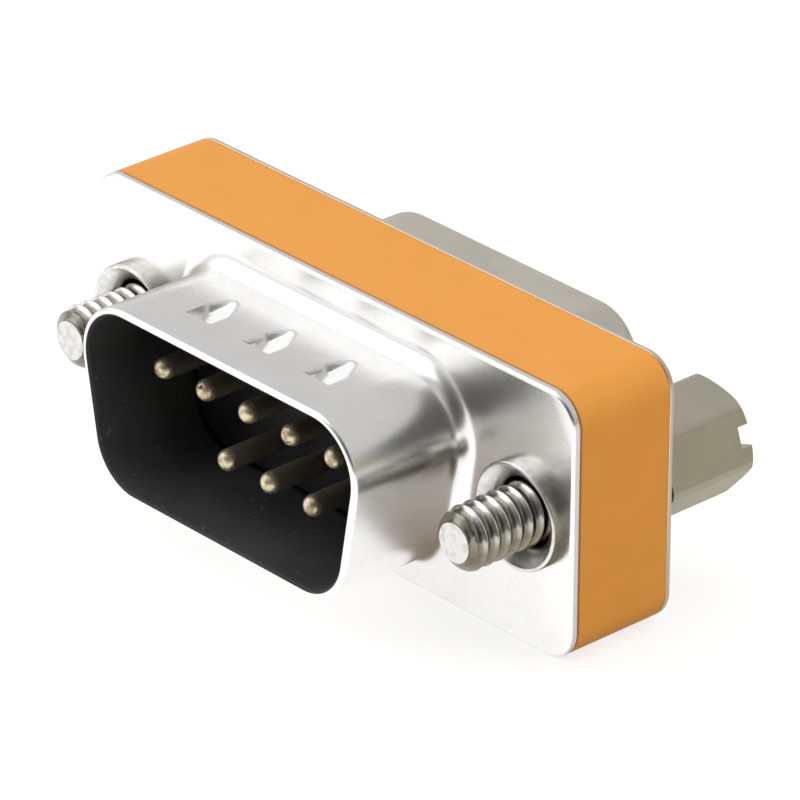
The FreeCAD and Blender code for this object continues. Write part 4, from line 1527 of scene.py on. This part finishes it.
@dataclass
class Studio:
    """Camera at the photograph's angle, soft lamps, pale floor and white surroundings."""

    target: tuple[float, float, float] = (0.000274, 0.00104, 0.005506)
    azimuth: float = 47.89
    elevation: float = 27.221
    roll: float = 0.203
    distance: float = 0.28839
    lens: float = 298.85
    sensor: float = 36.0
    nearest: float = 0.01
    floor_half: float = 2500.0
    floor_level: float = -0.02
    floor_colour: Colour = (0.38, 0.37, 0.35)
    seen_glow: Colour = (0.75, 0.75, 0.75)
    mirrored_glow: float = 1.0
    # Painted shadow on the floor as the metal sees it: darker behind the flange, and dim for later bounces.
    behind_shadow_glow: Colour = (0.42, 0.415, 0.38)
    behind_limits: Limits = (-3.2, -2.4)
    near_shadow_glow: Colour = (0.22, 0.17, 0.12)
    far_shadow_glow: Colour = (0.34, 0.335, 0.32)
    near_limits: Limits = (10.0, 16.0)
    right_side: tuple[float, float, float] = (0.8, 0.6, 0.0)
    right_limits: Limits = (-0.1, 0.6)
    left_horizon: Colour = (0.82, 0.815, 0.80)
    right_horizon: Colour = (0.40, 0.38, 0.27)
    sky: Colour = (0.68, 0.675, 0.665)
    sky_limits: Limits = (0.05, 0.42)
    front_left: tuple[float, float, float] = (-0.67, -0.72, 0.18)
    front_left_glow: Colour = (0.95, 0.945, 0.935)
    front_left_limits: Limits = (0.92, 0.98)
    dark_side: tuple[float, float, float] = (0.62, -0.74, 0.25)
    dark_corner: Colour = (0.11, 0.105, 0.095)
    dark_limits: Limits = (0.36, 0.95)
    lamps: tuple[Lamp, ...] = (
        Lamp("key_left", (-0.41, -0.22, 0.49), 0.8, 1.7, mirrored=True),
        Lamp("fill_top", (0.1, 0.1, 0.6), 0.7, 0.74),
        Lamp("fill_right", (0.5, 0.05, 0.2), 0.5, 1.15),
    )

    def direction(self) -> tuple[Vector, Vector, Vector]:
        """Works out how the camera stands.

        Returns:
            Its right, up and back.
        """
        az, el = math.radians(self.azimuth), math.radians(self.elevation)
        back = Vector((math.sin(az) * math.cos(el), -math.cos(az) * math.cos(el), math.sin(el)))
        right = Vector((0, 0, 1)).cross(back).normalized()
        up = back.cross(right)
        cos, sin = math.cos(math.radians(self.roll)), math.sin(math.radians(self.roll))
        return (right * cos + up * sin, up * cos - right * sin, back)

    def camera(self) -> None:
        """Makes the camera and gives it to the scene."""
        data = bpy.data.cameras.new("studio_camera")
        data.lens = self.lens
        data.sensor_width = self.sensor
        data.clip_start = self.nearest
        camera = bpy.data.objects.new("studio_camera", data)
        bpy.context.scene.collection.objects.link(camera)
        right, up, back = self.direction()
        matrix = camera.matrix_world.copy()
        for column, way in enumerate((right, up, back, Vector(self.target) + back * self.distance)):
            for row in range(3):
                matrix[row][column] = way[row]
        camera.matrix_world = matrix
        bpy.context.scene.camera = camera

    def light(self, lamp: Lamp) -> None:
        """Hangs a lamp and aims it at the object.

        Args:
            lamp: The lamp to hang.
        """
        data = bpy.data.lights.new(lamp.name, "AREA")
        data.size = lamp.size
        data.energy = lamp.power
        made = bpy.data.objects.new(lamp.name, data)
        bpy.context.scene.collection.objects.link(made)
        made.location = lamp.spot
        made.visible_glossy = lamp.mirrored
        aim = Vector(self.target) - Vector(lamp.spot)
        made.rotation_euler = aim.to_track_quat("-Z", "Y").to_euler()

    def floor(self) -> None:
        """A wide pale floor that keeps the object's shadow. The metal sees it white at the first bounce
        except for a painted shadow behind the flange face; later bounces see a dim painted shadow, dark
        brown below 10 mm along X and grey past 16 mm.
        """
        draft = Draft()
        half = self.floor_half
        corners = [(-half, -half), (half, -half), (half, half), (-half, half)]
        draft.points.extend(Vector((x, y, self.floor_level)) for x, y in corners)
        draft.lid(range(4))
        mix = Mixture("pale_floor")
        mix.plain(base_color=(*self.floor_colour, 1.0), roughness=0.9, specular_ior_level=0.0,
                  emission_strength=1.0)
        # Painted shadow in reflections: darker behind the flange face at the first bounce, dim and brownish
        # for later bounces.
        behind = mix.part(mix.place, "Y").ramp(*(MM * depth for depth in self.behind_limits))
        across = mix.part(mix.place, "X").ramp(*(MM * reach for reach in self.near_limits))
        plain = mix.blend((1.0, 1.0, 1.0), self.behind_shadow_glow, behind)
        inner = mix.blend(self.near_shadow_glow, self.far_shadow_glow, across)
        glossy = mix.blend(plain, inner, mix.ray("Glossy Depth").ramp(1.0, 2.0))
        shown = mix.blend((0.0, 0.0, 0.0), glossy, mix.ray("Is Glossy Ray") * self.mirrored_glow)
        mix.varied("Emission Color", mix.blend(shown, self.seen_glow, mix.ray("Is Camera Ray")))
        draft.piece("floor", [mix.material])

    def surroundings(self) -> None:
        """White surroundings for the camera, and for the light a room with one dark corner."""
        world = bpy.data.worlds.new("studio_world")
        world.use_nodes = True
        bpy.context.scene.world = world
        world.node_tree.nodes.clear()
        bench = Bench(world.node_tree)
        way = bench.node("ShaderNodeTexCoord", {}, {}, "Generated")
        rightward = bench.towards(way, self.right_side).ramp(*self.right_limits)
        upward = bench.part(way, "Z").ramp(*self.sky_limits)
        leftward = bench.towards(way, self.front_left).ramp(*self.front_left_limits)
        darkward = bench.towards(way, self.dark_side).ramp(*self.dark_limits)
        low = bench.blend(self.left_horizon, self.right_horizon, rightward)
        round_about = bench.blend(low, self.sky, upward)
        lifted = bench.blend(round_about, self.front_left_glow, leftward)
        colour = bench.blend(lifted, self.dark_corner, darkward)
        room = bench.node("ShaderNodeBackground", {}, {"Color": colour, "Strength": 1.0})
        white = bench.node("ShaderNodeBackground", {}, {"Color": (1.0, 1.0, 1.0, 1.0), "Strength": 1.0})
        both = bench.node("ShaderNodeMixShader", {}, {0: bench.ray("Is Camera Ray"), 1: room, 2: white})
        out = bench.nodes.new("ShaderNodeOutputWorld")
        bench.links.new(both.socket, out.inputs["Surface"])

    def build(self) -> None:
        """Sets up the whole studio."""
        self.camera()
        self.floor()
        self.surroundings()
        for lamp in self.lamps:
            self.light(lamp)
        bpy.context.scene.view_settings.view_transform = "Standard"


# Assembly


def dress(nodes: dict[str, bpy.types.Object], names: Iterable[str], finish: bpy.types.Material) -> None:
    """Gives CAD nodes a finish and leaves their meshes as they are.

    Args:
        nodes: Objects of the frame by name.
        names: Names of the nodes.
        finish: Their new finish.
    """
    for name in names:
        slots = nodes[name].data.materials
        slots.clear()
        slots.append(finish)
        LOG.info("dressed %s", name)


def seat(piece: bpy.types.Object, body: str, replaced: Sequence[str]) -> None:
    """Ties a piece to its CAD body and the nodes that it stands for.

    Args:
        piece: The finished piece.
        body: Body that it moves with.
        replaced: Nodes whose place it takes.
    """
    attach(piece, body)
    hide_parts(*replaced)
    LOG.info("%s: %d faces, replaces %s", piece.name, len(piece.data.polygons), ", ".join(replaced))


def seat_shells(layout: Layout, paint: Paintbox) -> None:
    """Builds both shells and the spacer between them.

    Args:
        layout: Shared places.
        paint: The finishes.
    """
    plug = DrawnShell(
        Facing.PLUG, layout, inside_width=17.01, inside_height=8.24, inside_corner=2.32, sheet=0.38,
        reach=6.28, bend=0.9, inner_bend=0.45, dimple_centres=(-3.55, 0.2, 4.05),
        runs=(180, 30, 44, 30), row_height=0.09, inner_row_height=0.12)
    socket = DrawnShell(
        Facing.SOCKET, layout, inside_width=15.73, inside_height=7.3, inside_corner=2.15, sheet=0.3,
        reach=5.25, bend=0.7, inner_bend=0.4, rim_round=0.12, rim_bend=0.75, lip=0.1)
    spacer = PlasticBody(layout)
    # The plug's inside walls take the painted shade of the mouth.
    seat(plug.build("plug_shell", paint.tin, paint.inside_shade), "adapter", ["front_shell"])
    seat(socket.build("socket_shell", paint.tin_rear, paint.tin_rear), "adapter",
         ["rear_shell"])
    seat(spacer.build("moulded_spacer", paint.orange), "adapter", ["spacer_body"])


def seat_jackscrew(side: Side, turn: float, layout: Layout, paint: Paintbox) -> None:
    """Builds one jackscrew and the eyelet that keeps it in.

    Args:
        side: Which of the two.
        turn: Rest angle of the screw, in degrees.
        layout: Shared places.
        paint: The finishes.
    """
    label = side.name.lower()
    ring = Eyelet(side, layout).build(label + "_eyelet", paint.nickel)
    seat(ring, "adapter", ["eyelet_" + label])
    screw = Jackscrew(side, layout, turn)
    made = (screw.stud(label + "_threaded_stud", paint.stud), screw.shank(label + "_shank", paint.stud),
            screw.post(label + "_hex_post", paint.post))
    for piece in made:
        seat(piece, label + "_jackscrew", ["jackscrew_" + label])


def main() -> None:
    """Builds the classes in order and reports each piece."""
    logging.basicConfig(level=logging.INFO, format="%(message)s")
    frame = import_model()
    nodes = frame["nodes"]
    layout = Layout()
    paint = Paintbox()
    Studio().build()

    seat_shells(layout, paint)
    pins = ["pin_%d" % number for number in (1, 2, 3, 4, 5, 7, 8, 9)]
    seat(PinRows(layout).build("plug_pins", paint.gold), "adapter", pins)
    for side, turn in ((Side.LEFT, 41.0), (Side.RIGHT, 19.0)):
        seat_jackscrew(side, turn, layout, paint)
    dress(nodes, ["front_insulator", "rear_insulator"], paint.black)
    dress(nodes, ["crossover_board"], paint.board)
    dress(nodes, ["contact_%d" % number for number in range(1, 10)], paint.gold)


if __name__ == "__main__":
    main()
